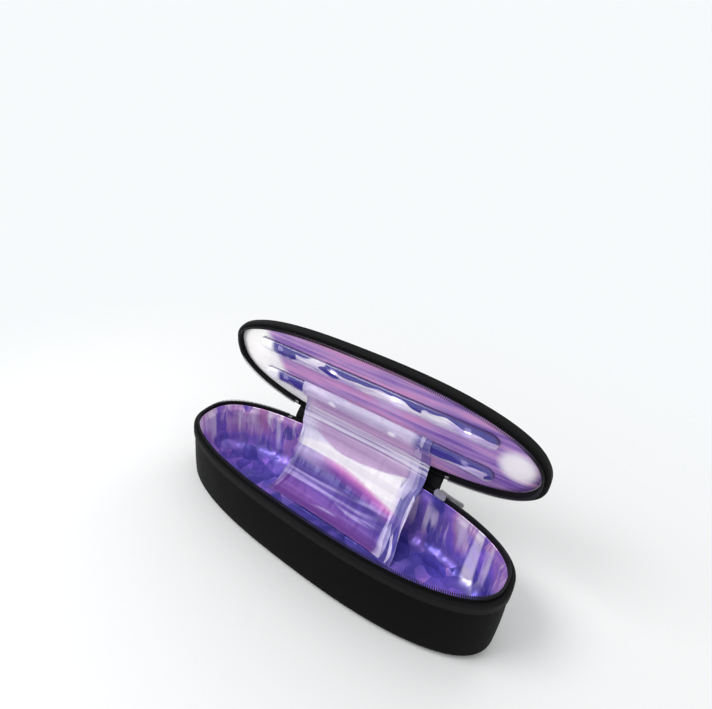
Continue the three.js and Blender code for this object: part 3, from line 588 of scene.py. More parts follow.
def plasticFinish(name, colour, rough, grain=1500.0, depth=0.04 * mm, coat=0.0):
    # Moulded plastic with a fine spark-eroded grain and rubbed places
    look = Look(name, Specular_IOR_Level=0.32, Coat_Weight=coat, Coat_Roughness=0.15)
    spot = look.places()
    handled = look.clouds(spot, 45.0, 4.0).within(0.48, 0.72)
    lighter = tuple(min(1.0, c * 1.35 + 0.004) for c in colour)
    return look.feed(
        Base_Color=look.blend(handled * 0.7, colour, lighter),
        Roughness=rough + handled * 0.12,
        Normal=look.bumped(look.clouds(spot, grain, 2.0), depth, 0.6),
    )


foilTones = [
    (0.24, 0.05, 0.045, 0.26),
    (0.38, 0.09, 0.075, 0.37),
    (0.48, 0.16, 0.12, 0.46),
    (0.56, 0.27, 0.16, 0.6),
    (0.64, 0.52, 0.27, 0.6),
    (0.74, 0.7, 0.55, 0.75),
    (0.9, 0.88, 0.82, 0.92),
]
foilMarks = {
    "floor": 6 * mm,
    "height": 55 * mm,
    "leftBack": (60 * mm, 170 * mm),
    "rightEnd": (80 * mm, 150 * mm),
    "back": (-10 * mm, 10 * mm),
    "gleamMiddle": 134.2 * mm,
    "gleamSway": 12 * mm,
    "gleamEdge": (2.2 * mm, 3.8 * mm),
}


def foilFinish():
    # Aluminised film under violet light: blue in the hollows and lilac on the walls as painted shade and
    # light, pale upright creases as painted highlights, and a faint glow of its own colour as painted light
    marks = foilMarks
    # Emission_Strength gives the foil a faint glow of its own colour: painted light, as the foil is no lamp
    look = Look("creasedFoil", Specular_IOR_Level=0.2, Emission_Strength=0.1)
    spot = look.places()
    x, y, z = look.axes(spot)
    bent = look.vectors("MULTIPLY_ADD", look.clouds(spot, 34.0, 2.0, output=1), (0.02, 0.02, 0.02), spot)
    tall = look.add("Mapping", {}, {0: bent, 2: (0.25, 0.2, 0.0), 3: (1, 1, 0.22)})
    small = look.add("Mapping", {}, {0: bent, 2: (-0.3, 0.25, 0.5), 3: (1, 1, 0.5)})
    wide, wideShade = look.facets(tall, 62.0)
    narrow = look.facets(small, 170.0)[0]
    patches = look.clouds(spot, 14.0, 2.0, distortion=0.6)
    streaks = look.clouds(tall, 64.0, 2.0, distortion=0.7)
    upward = (z - marks["floor"]) / marks["height"]
    leftBack = (y * 1.4 - x).within(*marks["leftBack"])
    # Painted light and shade: the tone rises with height up the walls, so the floor turns blue and the walls
    # lilac, and each wide facet's own random tone paints it as lit or shaded
    tone = patches * 0.6 + streaks * 0.26 + look.axes(wideShade)[0] * 0.17 + upward * 0.14
    tone = (tone - 0.5) * 1.25 + 0.5 + leftBack * upward * 0.07 - x.within(*marks["rightEnd"]) * 0.04
    flush = look.clouds(tall, 30.0, 2.0).within(0.52, 0.6) * leftBack * upward.within(0.3, 0.75)
    steep = look.places(scale=(1, 1, 0.07), turn=(0.1, -0.08, 0.0))
    leaning = look.places(scale=(1, 1, 0.1), turn=(0.5, 0.35, 0.3))
    # The thin pale crease lines laid over the walls below are painted highlights
    first = look.clouds(steep, 190.0, 2.0, distortion=0.4).within(0.5, 0.68)
    second = look.clouds(leaning, 95.0, 1.0, distortion=0.3).within(0.56, 0.66)
    sparse = patches.within(0.36, 0.5) * upward.within(0.05, 0.5)
    # The white diagonal streak near the foot of the back wall at the right end (fold) is a painted highlight
    aside = x * 0.928 + y * 0.343 - z * 0.144 - marks["gleamMiddle"] + (patches - 0.5) * marks["gleamSway"]
    fold = 1.0 - (aside.size() * (0.6 + upward * 0.5)).within(*marks["gleamEdge"])
    onBack = y.within(*marks["back"]) * upward.within(0.02, 0.2) * 0.85
    colour = look.layered(
        look.ramp(tone - 0.11, foilTones),
        (flush * 0.75, (0.5, 0.16, 0.42)),
        (first * sparse * 0.7, (0.86, 0.68, 0.86)),
        (second * sparse * 0.7, (0.92, 0.82, 0.92)),
        (fold * onBack, (0.95, 0.9, 0.96)),
    )
    fine = look.clouds(spot, 210.0, 3.0, 0.55)
    return look.feed(
        Base_Color=colour,
        Metallic=0.35 + fine * 0.25,
        Roughness=0.22 + fine * 0.18,
        Emission_Color=colour,
        Normal=look.bumped(narrow, 0.6, 0.07, look.bumped(wide, 0.9, 0.45)),
    )


liningTones = [
    (0.32, 0.12, 0.06, 0.34),
    (0.42, 0.28, 0.155, 0.46),
    (0.49, 0.46, 0.28, 0.56),
    (0.56, 0.68, 0.32, 0.58),
    (0.62, 0.58, 0.42, 0.7),
    (0.72, 0.9, 0.8, 0.95),
]
liningMarks = {
    "rightShade": (20 * mm, 120 * mm),
    "border": (32 * mm, 37 * mm),
    "borderLeft": (58 * mm, 72 * mm),
    "creamEnd": (100 * mm, 116 * mm),
    "glowRight": 148 * mm,
    "glowDown": 2 * mm,
    "glowHalves": (19 * mm, 22 * mm),
    "rimHalves": (168 * mm, 58 * mm),
}


def liningFinish():
    # Silver-white quilted lining: cream at the left end, lilac and pink bands along the lamp rows, and a
    # faint glow of its own colour as painted light
    marks = liningMarks
    # Emission_Strength gives the lining a faint glow of its own colour: painted light
    look = Look("silverLining", Specular_IOR_Level=0.4, Emission_Strength=0.2)
    x, y = look.axes(look.onCloth())[:2]
    spot = look.places()
    slow = look.clouds(look.onCloth((0.1, 1, 1)), 62.0, 3.0, 0.55, 0.3)
    bands = look.clouds(look.onCloth((0.03, 1, 1)), 210.0, 2.0)
    patches = look.clouds(spot, 15.0, 2.0)
    rightShade = (x - y * 0.9).within(*marks["rightShade"])
    lit = look.ramp(slow * 0.6 + bands * 0.3 + patches * 0.15 - rightShade * 0.05, liningTones)
    border = y.within(*marks["border"]) * (0.0 - x).within(*marks["borderLeft"])
    creamEnd = (y * 0.3 - x).within(*marks["creamEnd"]).atLeast(border)
    halfX, halfY = marks["glowHalves"]
    right = (x - marks["glowRight"]) / halfX
    height = (y + marks["glowDown"]) / halfY
    glow = 1.0 - (right * right + height * height).within(0.15, 1.0)
    cream = look.blend(slow * 0.5, (0.98, 0.965, 0.94), (0.9, 0.885, 0.89))
    rimX, rimY = marks["rimHalves"]
    power = case["outlinePower"]
    shade = ((x.size() / rimX) ** power + (y.size() / rimY) ** power).within(0.87, 1.07)
    colour = look.layered(lit, (creamEnd.atLeast(glow * 0.9), cream), (shade, (0.02, 0.018, 0.022)))
    grain = look.clouds(spot, 520.0, 2.0)
    creases = look.clouds(look.places(scale=(0.2, 1, 1)), 120.0, 4.0, 0.6)
    return look.feed(
        Base_Color=colour,
        Metallic=0.1 + slow * 0.2,
        Roughness=0.3 + creases * 0.22,
        Emission_Color=colour,
        Normal=look.bumped(creases, 1.1 * mm, 0.45, look.bumped(grain, 0.05 * mm, 0.5)),
    )


filmTones = [
    (0.1, 0.8, 0.74, 0.92),
    (0.6, 0.74, 0.5, 0.74),
    (0.8, 0.7, 0.62, 0.82),
    (1.0, 0.72, 0.69, 0.83),
]
filmLowerTones = [
    (0.0, 0.9, 0.7, 0.82),
    (0.07, 0.62, 0.22, 0.58),
    (0.16, 0.25, 0.08, 0.4),
    (0.24, 0.075, 0.05, 0.28),
    (0.5, 0.1, 0.055, 0.31),
    (0.75, 0.2, 0.075, 0.36),
]
# Lengths on the flat film: across from its middle, and down from its upper edge
filmMarks = {
    "halfLength": 75 * mm,
    "bend": 50 * mm,
    "sway": 10 * mm,
    "endSway": 20 * mm,
    "drapeSway": 12 * mm,
    "lensSag": 88 * mm,
    "belowSag": 18 * mm,
    "belowStart": 31 * mm,
    "whiteSag": 19 * mm,
    "mauveEdge": (-3 * mm, 1 * mm),
    "lensEdge": (0.0, 3 * mm),
    "whiteEdge": (21 * mm, 26 * mm),
    "dimEdge": (6 * mm, 20 * mm),
    "belowEdge": (-1.2 * mm, 1.2 * mm),
    "lowerEdge": (100 * mm, 108 * mm),
    "rightEdge": (52 * mm, 62 * mm),
    "leftEdge": (66 * mm, 73 * mm),
    "bendStart": (30 * mm, 38 * mm),
    "bendEnd": (50 * mm, 56 * mm),
    "upperEdge": (38 * mm, 50 * mm),
    "tuckEdge": (125 * mm, 145 * mm),
    "glareMiddle": (35 * mm, 12.5 * mm),
    "glareHalves": (6 * mm, 4.5 * mm),
    "glareSway": 6 * mm,
}


def filmFinish():
    # Thin mirror film: see-through over the lower lamps, mauve and white past the bend, pink and violet
    # lower, and a faint glow of its own colour as painted light
    marks = filmMarks
    # Emission_Strength gives the film a faint glow of its own colour: painted light
    look = Look("mirrorFilm", Specular_IOR_Level=0.22, Emission_Strength=0.12)
    x, down = look.axes(look.onCloth())[:2]
    wave = look.clouds(look.onCloth((0.2, 1, 1)), 40.0, 2.0)
    drape = look.clouds(look.onCloth((0.5, 1, 1)), 22.0, 2.0)
    share = (x + marks["halfLength"]) / (2 * marks["halfLength"])
    past = down - marks["bend"] + (wave - 0.5) * marks["sway"] + (drape - 0.5) * marks["drapeSway"]
    lens = (past - share * (1.0 - share) * marks["lensSag"]).within(*marks["lensEdge"])
    below = past - share * share * marks["belowSag"] - marks["belowStart"]
    mauve = look.blend(drape, (0.44, 0.27, 0.5), (0.66, 0.48, 0.7))
    white = lens * (past + share * marks["whiteSag"]).within(*marks["whiteEdge"])
    dim = (1.0 - share.within(0.12, 0.42)) * (1.0 - below.within(*marks["dimEdge"]))
    under = look.blend(dim, look.ramp(below * 16.0, filmLowerTones), (0.5, 0.42, 0.7))
    lower = down.within(*marks["lowerEdge"])
    sheer = look.clouds(look.onCloth((0.14, 1, 1), turn=(0, 0, 0.35)), 60.0, 2.0, distortion=0.6)
    rightEnd = (x + (wave - 0.5) * marks["endSway"]).within(*marks["rightEdge"])
    ends = rightEnd + (0.0 - x).within(*marks["leftEdge"]) * 0.5
    # Crumpled ends: each facet gets its own tone between dark blue and pale lilac, painted light and shade of
    # the crumple
    crease, creaseShade = look.facets(look.onCloth((1, 0.16, 1), turn=(0, 0, 0.08)), 190.0)
    creaseTone = look.axes(creaseShade)[0]
    crumpleShading = look.blend(creaseTone.within(0.35, 0.9), (0.1, 0.085, 0.38), (0.72, 0.66, 0.88))
    # Fine lengthwise lines over the upper part and the bend: the pale ones are painted highlights
    lines = look.clouds(look.onCloth((0.02, 1, 1)), 330.0, 2.0)
    bend = down.within(*marks["bendStart"]) * (1.0 - down.within(*marks["bendEnd"]))
    upper = 1.0 - down.within(*marks["upperEdge"])
    seen = upper * 0.3 + bend * 0.5 + 0.03
    middleX, middleDown = marks["glareMiddle"]
    halfX, halfDown = marks["glareHalves"]
    aside = (x.size() - middleX + (wave - 0.5) * marks["sway"]) / halfX
    above = (down - middleDown + (drape - 0.5) * marks["glareSway"]) / halfDown
    glare = 1.0 - (aside * aside + above * above).within(0.0, 1.0)
    colour = look.layered(
        look.ramp(down * 20.0, filmTones),
        (past.within(*marks["mauveEdge"]) * share.within(0.04, 0.2) * 0.9, mauve),
        (lens, (0.7, 0.67, 0.82)),
        (white, (0.94, 0.92, 0.94)),
        (below.within(*marks["belowEdge"]), under),
        (sheer.within(0.56, 0.64) * lower * 0.6, (0.5, 0.42, 0.74)),
        (ends * 0.9, crumpleShading),
        (lines.within(0.53, 0.6) * seen, (0.97, 0.94, 0.99)),
        ((1.0 - lines.within(0.38, 0.44)) * seen, (0.22, 0.12, 0.36)),
        (glare, (1.0, 0.98, 1.0)),
    )
    return look.feed(
        Base_Color=colour,
        Metallic=wave * 0.1 + lower * 0.2,
        Roughness=0.2 + wave * 0.16 + lower * 0.2,
        Alpha=0.97 - upper * 0.5 - down.within(*marks["tuckEdge"]) * 0.3 + glare * 0.3,
        Emission_Color=colour,
        Normal=look.bumped(crease, 0.9, 0.5, look.bumped(wave, 2 * mm, 0.3)),
    )


sleeveMarks = {
    "halfWidth": 8.5 * mm,
    "thin": (-45 * mm, 30 * mm),
    "leftEndHighlight": (108 * mm, 118 * mm),
    "rightWeld": (128 * mm, 134 * mm),
    "leftWeld": (131 * mm, 134 * mm),
}


def sleeveFinish(name, thinShare, more, shift):
    # Clear vinyl channel over a lamp row: long dark blue painted reflections, pale below, a painted highlight
    # at its left end, a dark outline at the weld that is partly painted shadow, and a faint glow of its own
    # colour as painted light
    marks = sleeveMarks
    # Emission_Strength gives the vinyl a faint glow of its own colour: painted light
    look = Look(name, Specular_IOR_Level=0.6, Coat_Weight=0.4, Coat_Roughness=0.05, Emission_Strength=0.1)
    x, across = look.axes(look.onCloth())[:2]
    streaks = look.clouds(look.onCloth((0.42, 1, 1), move=shift), 60.0, 1.0, distortion=0.6)
    pale = look.clouds(look.onCloth((0.12, 1, 1), move=(0.4, 0.1, 0.2)), 150.0, 2.0, distortion=0.8)
    side = across / marks["halfWidth"]
    thin = x.within(*marks["thin"]) * thinShare
    blue = (streaks * 0.95 + more - side * (0.18 + thin * 0.3) - thin * 0.34).within(0.52, 0.56)
    # The near-white, more opaque left end is a painted highlight
    leftEndHighlight = (0.0 - x).within(*marks["leftEndHighlight"])
    # The dark outline round the edge is the weld and partly a painted shadow under the channel's edge
    rightSide = side.size() + x.within(*marks["rightWeld"])
    outline = (rightSide + (0.0 - x).within(*marks["leftWeld"])).within(0.9, 0.97)
    colour = look.layered(
        look.blend(pale.within(0.4, 0.6), (0.6, 0.5, 0.78), (0.92, 0.89, 0.97)),
        (blue * (1.0 - leftEndHighlight), (0.05, 0.04, 0.28)),
        (leftEndHighlight, (0.97, 0.97, 0.99)),
        (outline * 0.8, (0.1, 0.07, 0.2)),
    )
    wrinkle = look.clouds(look.onCloth((0.4, 1, 1)), 160.0)
    return look.feed(
        Base_Color=colour,
        Roughness=0.08 + wrinkle * 0.14,
        Alpha=0.55 + blue * 0.3 + leftEndHighlight * 0.35,
        Emission_Color=colour,
        Normal=look.bumped(wrinkle, 0.8 * mm, 0.4),
    )


def lampFinish():
    look = Look("lampLens", Emission_Strength=9.0, Specular_IOR_Level=0.6)
    frost = look.clouds(look.places(), 700.0, 2.0)
    glow = look.blend(frost, (0.92, 0.86, 1.0), (0.78, 0.66, 1.0))
    rough = 0.2 + frost * 0.15
    bump = look.bumped(frost, 0.03 * mm, 0.5)
    return look.feed(Base_Color=glow, Roughness=rough, Emission_Color=glow, Normal=bump)


def boardFinish(name, colour, lines):
    # Circuit board: solder mask with faint copper tracks under it
    look = Look(name, Specular_IOR_Level=0.5, Coat_Weight=0.3, Coat_Roughness=0.2)
    tracks = look.cells(look.places(scale=(1, 0.6, 1)), lines, "DISTANCE_TO_EDGE").within(0.02, 0.06)
    return look.feed(
        Base_Color=look.blend(tracks, tuple(min(1.0, c * 1.25 + 0.01) for c in colour), colour),
        Roughness=0.34 + look.clouds(look.places(), 400.0, 2.0) * 0.16,
        Normal=look.bumped(tracks, 0.05 * mm, 0.4),
    )


def threadFinish():
    look = Look("sewingThread", Specular_IOR_Level=0.2)
    ply = look.clouds(look.places(), 2600.0, 2.0)
    colour = look.blend(ply, (0.003, 0.003, 0.0035), (0.009, 0.009, 0.0105))
    return look.feed(Base_Color=colour, Roughness=0.45 + ply * 0.2, Normal=look.bumped(ply, 0.05 * mm, 0.8))


coverCloth = coverFinish()
bindingTape = bindingFinish()
wovenTape = tapeFinish()
toothNylon = nylonFinish()
zipMetal = metalFinish("zipMetal", (0.5, 0.5, 0.51), 0.3, 0.35)
brightMetal = metalFinish("brightMetal", (0.8, 0.81, 0.82), 0.2)
podPlastic = plasticFinish("podPlastic", (0.013, 0.013, 0.0155), 0.36)
buttonPlastic = plasticFinish("buttonPlastic", (0.024, 0.024, 0.029), 0.28, 1900.0, 0.02 * mm, 0.2)
stiffBoard = plasticFinish("stiffBoard", (0.55, 0.55, 0.56), 0.5, 380.0, 0.08 * mm)
cellWrap = plasticFinish("cellWrap", (0.22, 0.27, 0.34), 0.3, 260.0, 0.06 * mm, 0.4)
clearPlastic = plasticFinish("lensPlastic", (0.75, 0.78, 0.95), 0.12, 1500.0, 0.01 * mm, 0.6)
creasedFoil = foilFinish()
silverLining = liningFinish()
mirrorFilm = filmFinish()
upperVinyl = sleeveFinish("upperVinyl", 1.0, 0.045, (0, 0, 0))
lowerVinyl = sleeveFinish("lowerVinyl", 0.0, 0.1, (0.3, 0.2, 0))
lampLens = lampFinish()
whiteBoard = boardFinish("whiteBoard", (0.82, 0.82, 0.8), 90.0)
circuitBoard = boardFinish("circuitBoard", (0.02, 0.13, 0.06), 160.0)
sewingThread = threadFinish()

# Solids that are shown as the frame has them
carried = [
    (stiffBoard, ["base_board", "lid_board"]),
    (brightMetal, ["closing_magnet", "lid_sensor", "button_switch", "usb_inlet"]),
    (brightMetal, ["control_screw_left", "control_screw_right"]),
    (whiteBoard, ["led_board_lower", "led_board_upper", "led_cable"]),
    (cellWrap, ["battery_cell"]),
    (podPlastic, ["control_backplate"]),
    (circuitBoard, ["control_board"]),
    (buttonPlastic, ["power_button"]),
    (clearPlastic, ["indicator_lens"]),
    (zipMetal, [f"{half}_zip_stop_{side}" for half in ("base", "lid") for side in ("left", "right")]),
    (lampLens, [f"uv_led_{row}_{number}" for row in ("lower", "upper") for number in range(1, 5)]),
]
for look, nodes in carried:
    for node in nodes:
        dressed(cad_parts[node], look)

print("tray cover")
trayForm = {
    "columns": 260,
    "wallRows": 26,
    "edgeRadius": 8 * mm,
    "draft": 1.6 * mm,
    "wall": 3.2 * mm,
    "floor": 3.2 * mm,
    "bulge": 0.7 * mm,
    "footCrown": 0.6 * mm,
    "rimRadius": 1.2 * mm,
    "innerDrop": 8 * mm,
    "dent": 0.25 * mm,
    "dentScale": 38,
    "pucker": 0.16 * mm,
    "stitchStep": 4.4 * mm,
}


def arc(inset, z, reachIn, reachUp, steps, fromFlat):
    # Quarter of an ellipse between a flat face and a wall, as pairs of inset and height
    pairs = []
    for i in range(steps + 1):
        angle = math.pi / 2 * i / steps
        pairs.append((inset + reachIn * (1 - math.cos(angle)), z + reachUp * math.sin(angle)))
    return pairs[::-1] if fromFlat else pairs


def pulled(at):
    # How strongly the stitches pull the cloth in at a station, from -1 to 1
    return math.sin(2 * math.pi * at[2] / trayForm["stitchStep"])


def makeCover(name, rows, body, node):
    cover = merged(skin(name, rows, wrapAcross=True))
    finished(cover, coverCloth, body, [node])


def makeTrayCover():
    form = trayForm
    stations = run(form["columns"])[:-1]
    top = case["baseHeight"]
    radius = form["edgeRadius"]
    shoulder = top - form["rimRadius"]
    outer = arc(form["draft"], radius, radius, -radius, 10, True)
    foot = ring(stations, outer[0][0], 0)
    rows = []
    for share in (1.0, 0.8, 0.6, 0.4, 0.2):
        rows.append([towardsMiddle(p, share, form["footCrown"] * share) for p in foot])
    rows.extend(ring(stations, inset, z) for inset, z in outer)
    for i in range(1, form["wallRows"] + 1):
        share = i / form["wallRows"]
        z = radius + (shoulder - radius) * share
        belly = math.sin(math.pi * share)
        inset = form["draft"] * (1 - share) - form["bulge"] * belly * (1 - 0.5 * share)
        pucker = form["pucker"] * smooth(0.62, 0.9, share) * (1 - smooth(0.93, 1, share))
        row = []
        for at in stations:
            dent = noise.noise(placed(at, inset, z) * form["dentScale"]) * form["dent"] * belly
            row.append(placed(at, inset + dent + pucker * pulled(at), z))
        rows.append(row)
    rim = arc(0, shoulder, form["rimRadius"], form["rimRadius"], 4, False)[1:]
    inner = arc(form["wall"] + form["draft"], form["floor"] + radius / 2, radius / 2, -radius / 2, 4, False)
    edge = [(form["wall"], top), (form["wall"], top - form["innerDrop"])]
    rows.extend(ring(stations, inset, z) for inset, z in rim + edge + inner)
    for share in (0.5, 1.0):
        rows.append([towardsMiddle(p, share, form["floor"]) for p in ring(stations, inner[-1][0], 0)])
    makeCover("trayCover", rows, "tray", "base_shell")


makeTrayCover()

print("lid cover")
lidForm = {
    "columns": 260,
    "wall": 2.6 * mm,
    "wallHeight": 6 * mm,
    "rise": 6.5 * mm,
    "shoulder": 17 * mm,
    "crown": 1.2 * mm,
    "dent": 0.3 * mm,
    "dentScale": 24,
    "pucker": 0.14 * mm,
    # Inset and height over the rim, in millimetres
    "rimLine": ((0, 4), (0, 2), (0, 1), (0.4, 0), (2.6, 0)),
}


def makeLidCover():
    form = lidForm
    stations = run(form["columns"])[:-1]
    low = case["lidRim"]
    head = low + form["wallHeight"]
    outer = arc(0, head, form["shoulder"], form["rise"], 16, True)
    rows = []
    for share in (1.0, 0.85, 0.7, 0.55, 0.4, 0.27, 0.14):
        z = outer[0][1] + form["crown"] * math.sin(math.pi / 2 * share)
        row = [towardsMiddle(p, share, z) for p in ring(stations, *outer[0])]
        for spot in row:
            spot.z += noise.noise(spot * form["dentScale"]) * form["dent"]
        rows.append(row)
    for k, (inset, z) in enumerate(outer):
        share = k / (len(outer) - 1)
        pucker = form["pucker"] * math.sin(math.pi * share) * smooth(0.55, 0.95, k / len(outer))
        row = ring(stations, inset, z)
        for at, spot in zip(stations, row):
            spot.z += noise.noise(spot * form["dentScale"]) * form["dent"] * (1 - share)
            spot -= at[1] * pucker * pulled(at)
        rows.append(row)
    rim = [(inset * mm, low + up * mm) for inset, up in form["rimLine"]]
    wall = form["wall"]
    inner = arc(wall, head, form["shoulder"] - wall, form["rise"] - wall, 6, False)
    rows.extend(ring(stations, inset, z) for inset, z in rim + inner)
    for share in (0.5, 1.0):
        rows.append([towardsMiddle(p, share, p.z) for p in ring(stations, *inner[-1])])
    makeCover("lidCover", [[opened(p) for p in row] for row in rows], "lid", "lid_panel")


makeLidCover()

print("rim bindings and their stitches")
bindingForm = {
    "columns": 420,
    "fit": 0.3 * mm,
    "thickness": 1.0 * mm,
    "puff": 0.06 * mm,
    "puffScale": 90,
    "stitchInset": 1.7 * mm,
    "stitchStep": 4.4 * mm,
    "stitchLength": 3.3 * mm,
    "stitchDip": 0.2 * mm,
    "stitchTip": 0.12 * mm,
    "stitchSink": 0.12 * mm,
    "threadRadius": 0.26 * mm,
    # Inset and height from the outer foot, the seam, the outer top and the rim's own top, in millimetres
    "footLine": ((0.35, 0), (0.05, 0.3), (0, 0.8)),
    "seamLine": ((0.22, 0), (0, 0.9)),
    "topLine": ((-0.08, -3.2), (0, -1.4), (0.3, -0.5), (0.9, -0.06), (2.0, 0)),
    "innerLine": ((2.4, -0.05), (3.05, -0.3), (3.2, -0.8), (3.1, -1.0), (0.4, -1.0), (-0.3, -1.3)),
}


def bindingProfile(edge, side, height):
    # Pairs of inset and height round the folded tape; side is 1 for the tray, -1 for the lid
    form = bindingForm
    outside = -form["fit"] - form["thickness"]
    foot = edge - side * height
    seam = foot + side * form["stitchInset"]
    top = edge - side * outside
    starts = {"footLine": (outside, foot), "seamLine": (outside, seam), "topLine": (outside, top)}
    profile = [(-form["fit"], foot)]
    for line, (inset, z) in {**starts, "innerLine": (0, top)}.items():
        profile.extend((inset + inwards * mm, z + side * up * mm) for inwards, up in form[line])
    return profile


def taped(name, rows, stations, profile, wrapAlong):
    # A strip of tape whose profile is given, with its lengths along and across as its own places
    across = [0.0]
    for a, b in zip(profile, profile[1:] + profile[:1]):
        across.append(across[-1] + math.dist(a, b))
    return skin(name, rows, True, wrapAlong, [[(at[2], reach) for reach in across] for at in stations])


def makeBinding(name, edge, side, height, body, node):
    form = bindingForm
    stations = run(form["columns"])
    profile = bindingProfile(edge, side, height)
    rows = []
    for at in stations[:-1]:
        puff = noise.noise(at[0] * form["puffScale"]) * form["puff"]
        row = [placed(at, inset - puff, z) for inset, z in profile]
        rows.append(row if side > 0 else [opened(p) for p in row])
    tape = taped(name, rows, stations, profile, True)
    with editing(tape):
        bpy.ops.mesh.normals_make_consistent(inside=False)
    finished(tape, bindingTape, body, [node])


def makeStitch():
    # One stitch of thread: thick in the middle, dipping into the cloth at both ends
    form = bindingForm
    length = form["stitchLength"]
    radius = form["threadRadius"]
    deselect()
    bpy.ops.mesh.primitive_cylinder_add(vertices=8, radius=radius, depth=length, rotation=(0, math.pi / 2, 0))
    stitch = bpy.context.object
    bpy.ops.object.transform_apply(location=True, rotation=True, scale=True)
    with editing(stitch, chosen=lambda face: abs(face.normal.x) > 0.9):
        bpy.ops.mesh.inset(thickness=radius * 0.4, depth=form["stitchTip"])
        bpy.ops.mesh.select_all(action="SELECT")
        bpy.ops.mesh.bisect(plane_co=(0, 0, 0), plane_no=(1, 0, 0))
    for vertex in stitch.data.vertices:
        vertex.co.z -= form["stitchDip"] * (abs(vertex.co.x) / (length / 2)) ** 2
    return stitch


def makeStitches(name, edge, side, height, body):
    form = bindingForm
    seam = edge - side * (height - form["stitchInset"])
    out = form["stitchSink"] - form["fit"] - form["thickness"]
    places = []
    for at in run(int(ovalLength / form["stitchStep"]))[:-1]:
        along = Vector((-at[1].y, at[1].x, 0))
        places.append(upright(placed(at, out, seam), along, at[1], side < 0))
    stitches = scattered(name, makeStitch(), places)
    stitches.data.shade_smooth()
    finished(stitches, sewingThread, body)


trayRim = (case["baseHeight"], 1, 7 * mm, "tray")
lidRim = (case["lidRim"], -1, 5 * mm, "lid")
makeBinding("trayBinding", *trayRim, "base_rim_binding")
makeBinding("lidBinding", *lidRim, "lid_rim_binding")
makeStitches("trayBindingStitches", *trayRim)
makeStitches("lidBindingStitches", *lidRim)

print("zip tapes and teeth")
zipForm = {
    "columns": 300,
    "trayTape": (54.3 * mm, 64.4 * mm),
    "lidTape": (75.0 * mm, 69.6 * mm),
    "beadFoot": 0.9 * mm,
    "beadMiddle": 0.4 * mm,
    "beadSwell": 0.15 * mm,
    "wave": 0.1 * mm,
    "waveScale": 30,
    "pitch": 1.7 * mm,
    "toothLength": 0.76 * mm,
    "toothWidth": 2.1 * mm,
    "toothReach": 1.7 * mm,
    "saddle": 1.2 * mm,
    "neckShare": 0.55,
    "neckTaper": (0.62, 0.6, 1),
    "headShare": 0.9,
    "headSwell": (1.4, 1.3, 1),
    "edge": 0.18 * mm,
    "play": 0.25 * mm,
}


def makeZipTape(name, ends, opening, body, node):
    # A strip from its back to the edge that carries the teeth, which is a swollen bead
    form = zipForm
    back, edge = ends
    side = -1 if opening else 1
    stations = run(form["columns"], zipStart, zipEnd)
    inner = case["tapeInset"]
    outer = inner + case["tapeThickness"]
    foot = edge - side * form["beadFoot"]
    middle = edge - side * form["beadMiddle"]
    profile = [
        (inner, back),
        (inner, foot),
        (inner - form["beadSwell"], middle),
        ((inner + outer) / 2, edge),
        (outer + form["beadSwell"], middle),
        (outer, foot),
        (outer, back),
    ]
    rows = []
    for at in stations:
        wave = noise.noise(at[0] * form["waveScale"]) * form["wave"]
        row = [placed(at, inset + wave, z) for inset, z in profile]
        rows.append([opened(p) for p in row] if opening else row)
    tape = taped(name, rows, stations, profile, False)
    with editing(tape, "EDGE"):
        bpy.ops.mesh.select_all(action="DESELECT")
        bpy.ops.mesh.select_non_manifold()
        bpy.ops.mesh.edge_face_add()
        bpy.ops.mesh.select_all(action="SELECT")
        bpy.ops.mesh.normals_make_consistent(inside=False)
    finished(tape, wovenTape, body, [node])


def makeTooth():
    # One moulded tooth: a saddle over the tape's edge, a neck and a rounded head that points up
    form = zipForm
    saddle, edge = form["saddle"], form["edge"]
    neck = form["toothReach"] * form["neckShare"]
    head = form["toothReach"] * form["headShare"]
    deselect()
    bpy.ops.mesh.primitive_cube_add(size=1)
    tooth = bpy.context.object

    def isUpright(line):
        low, high = span(tooth, line)
        return low < -edge < high

    def isOuter(line):
        low, high = span(tooth, line)
        return low > head - edge or high < -edge

    with editing(tooth):
        bpy.ops.transform.resize(value=(form["toothLength"], form["toothWidth"], saddle))
        bpy.ops.transform.translate(value=(0, 0, -saddle / 2))
    bevelled(tooth, isUpright, edge)
    with editing(tooth, "FACE", lambda face: face.normal.z > 0.9):
        for lower, upper, change in ((0, neck, form["neckTaper"]), (neck, head, form["headSwell"])):
            bpy.ops.mesh.extrude_region_move(TRANSFORM_OT_translate={"value": (0, 0, upper - lower)})
            bpy.ops.transform.resize(value=change, center_override=(0, 0, upper))
    bevelled(tooth, isOuter, edge)
    return tooth


def makeZipTeeth(name, opening, body, node):
    # The lid's teeth stand in the gaps of the tray's, half a pitch further on, and point down
    form = zipForm
    count = 2 * int(run(1, zipStart, zipEnd)[-1][2] / form["pitch"])
    side = 1 if opening else -1
    root = case["splitHeight"] + side * (form["play"] + form["toothReach"]) / 2
    turned = Matrix.Rotation(math.pi if opening else 0, 4, "X")
    middle = case["tapeInset"] + case["tapeThickness"] / 2
    places = []
    for at in run(count, zipStart, zipEnd)[3 + opening : count - 2 : 2]:
        along = Vector((at[1].y, -at[1].x, 0))
        places.append(upright(placed(at, middle, root), along, upwards, opening) @ turned)
    teeth = scattered(name, makeTooth(), places)
    finished(teeth, toothNylon, body, [node])


makeZipTape("trayZipTape", zipForm["trayTape"], False, "tray", "base_zip_tape")
makeZipTape("lidZipTape", zipForm["lidTape"], True, "lid", "lid_zip_tape")
makeZipTeeth("trayZipTeeth", False, "tray", "base_zip_teeth")
makeZipTeeth("lidZipTeeth", True, "lid", "lid_zip_teeth")

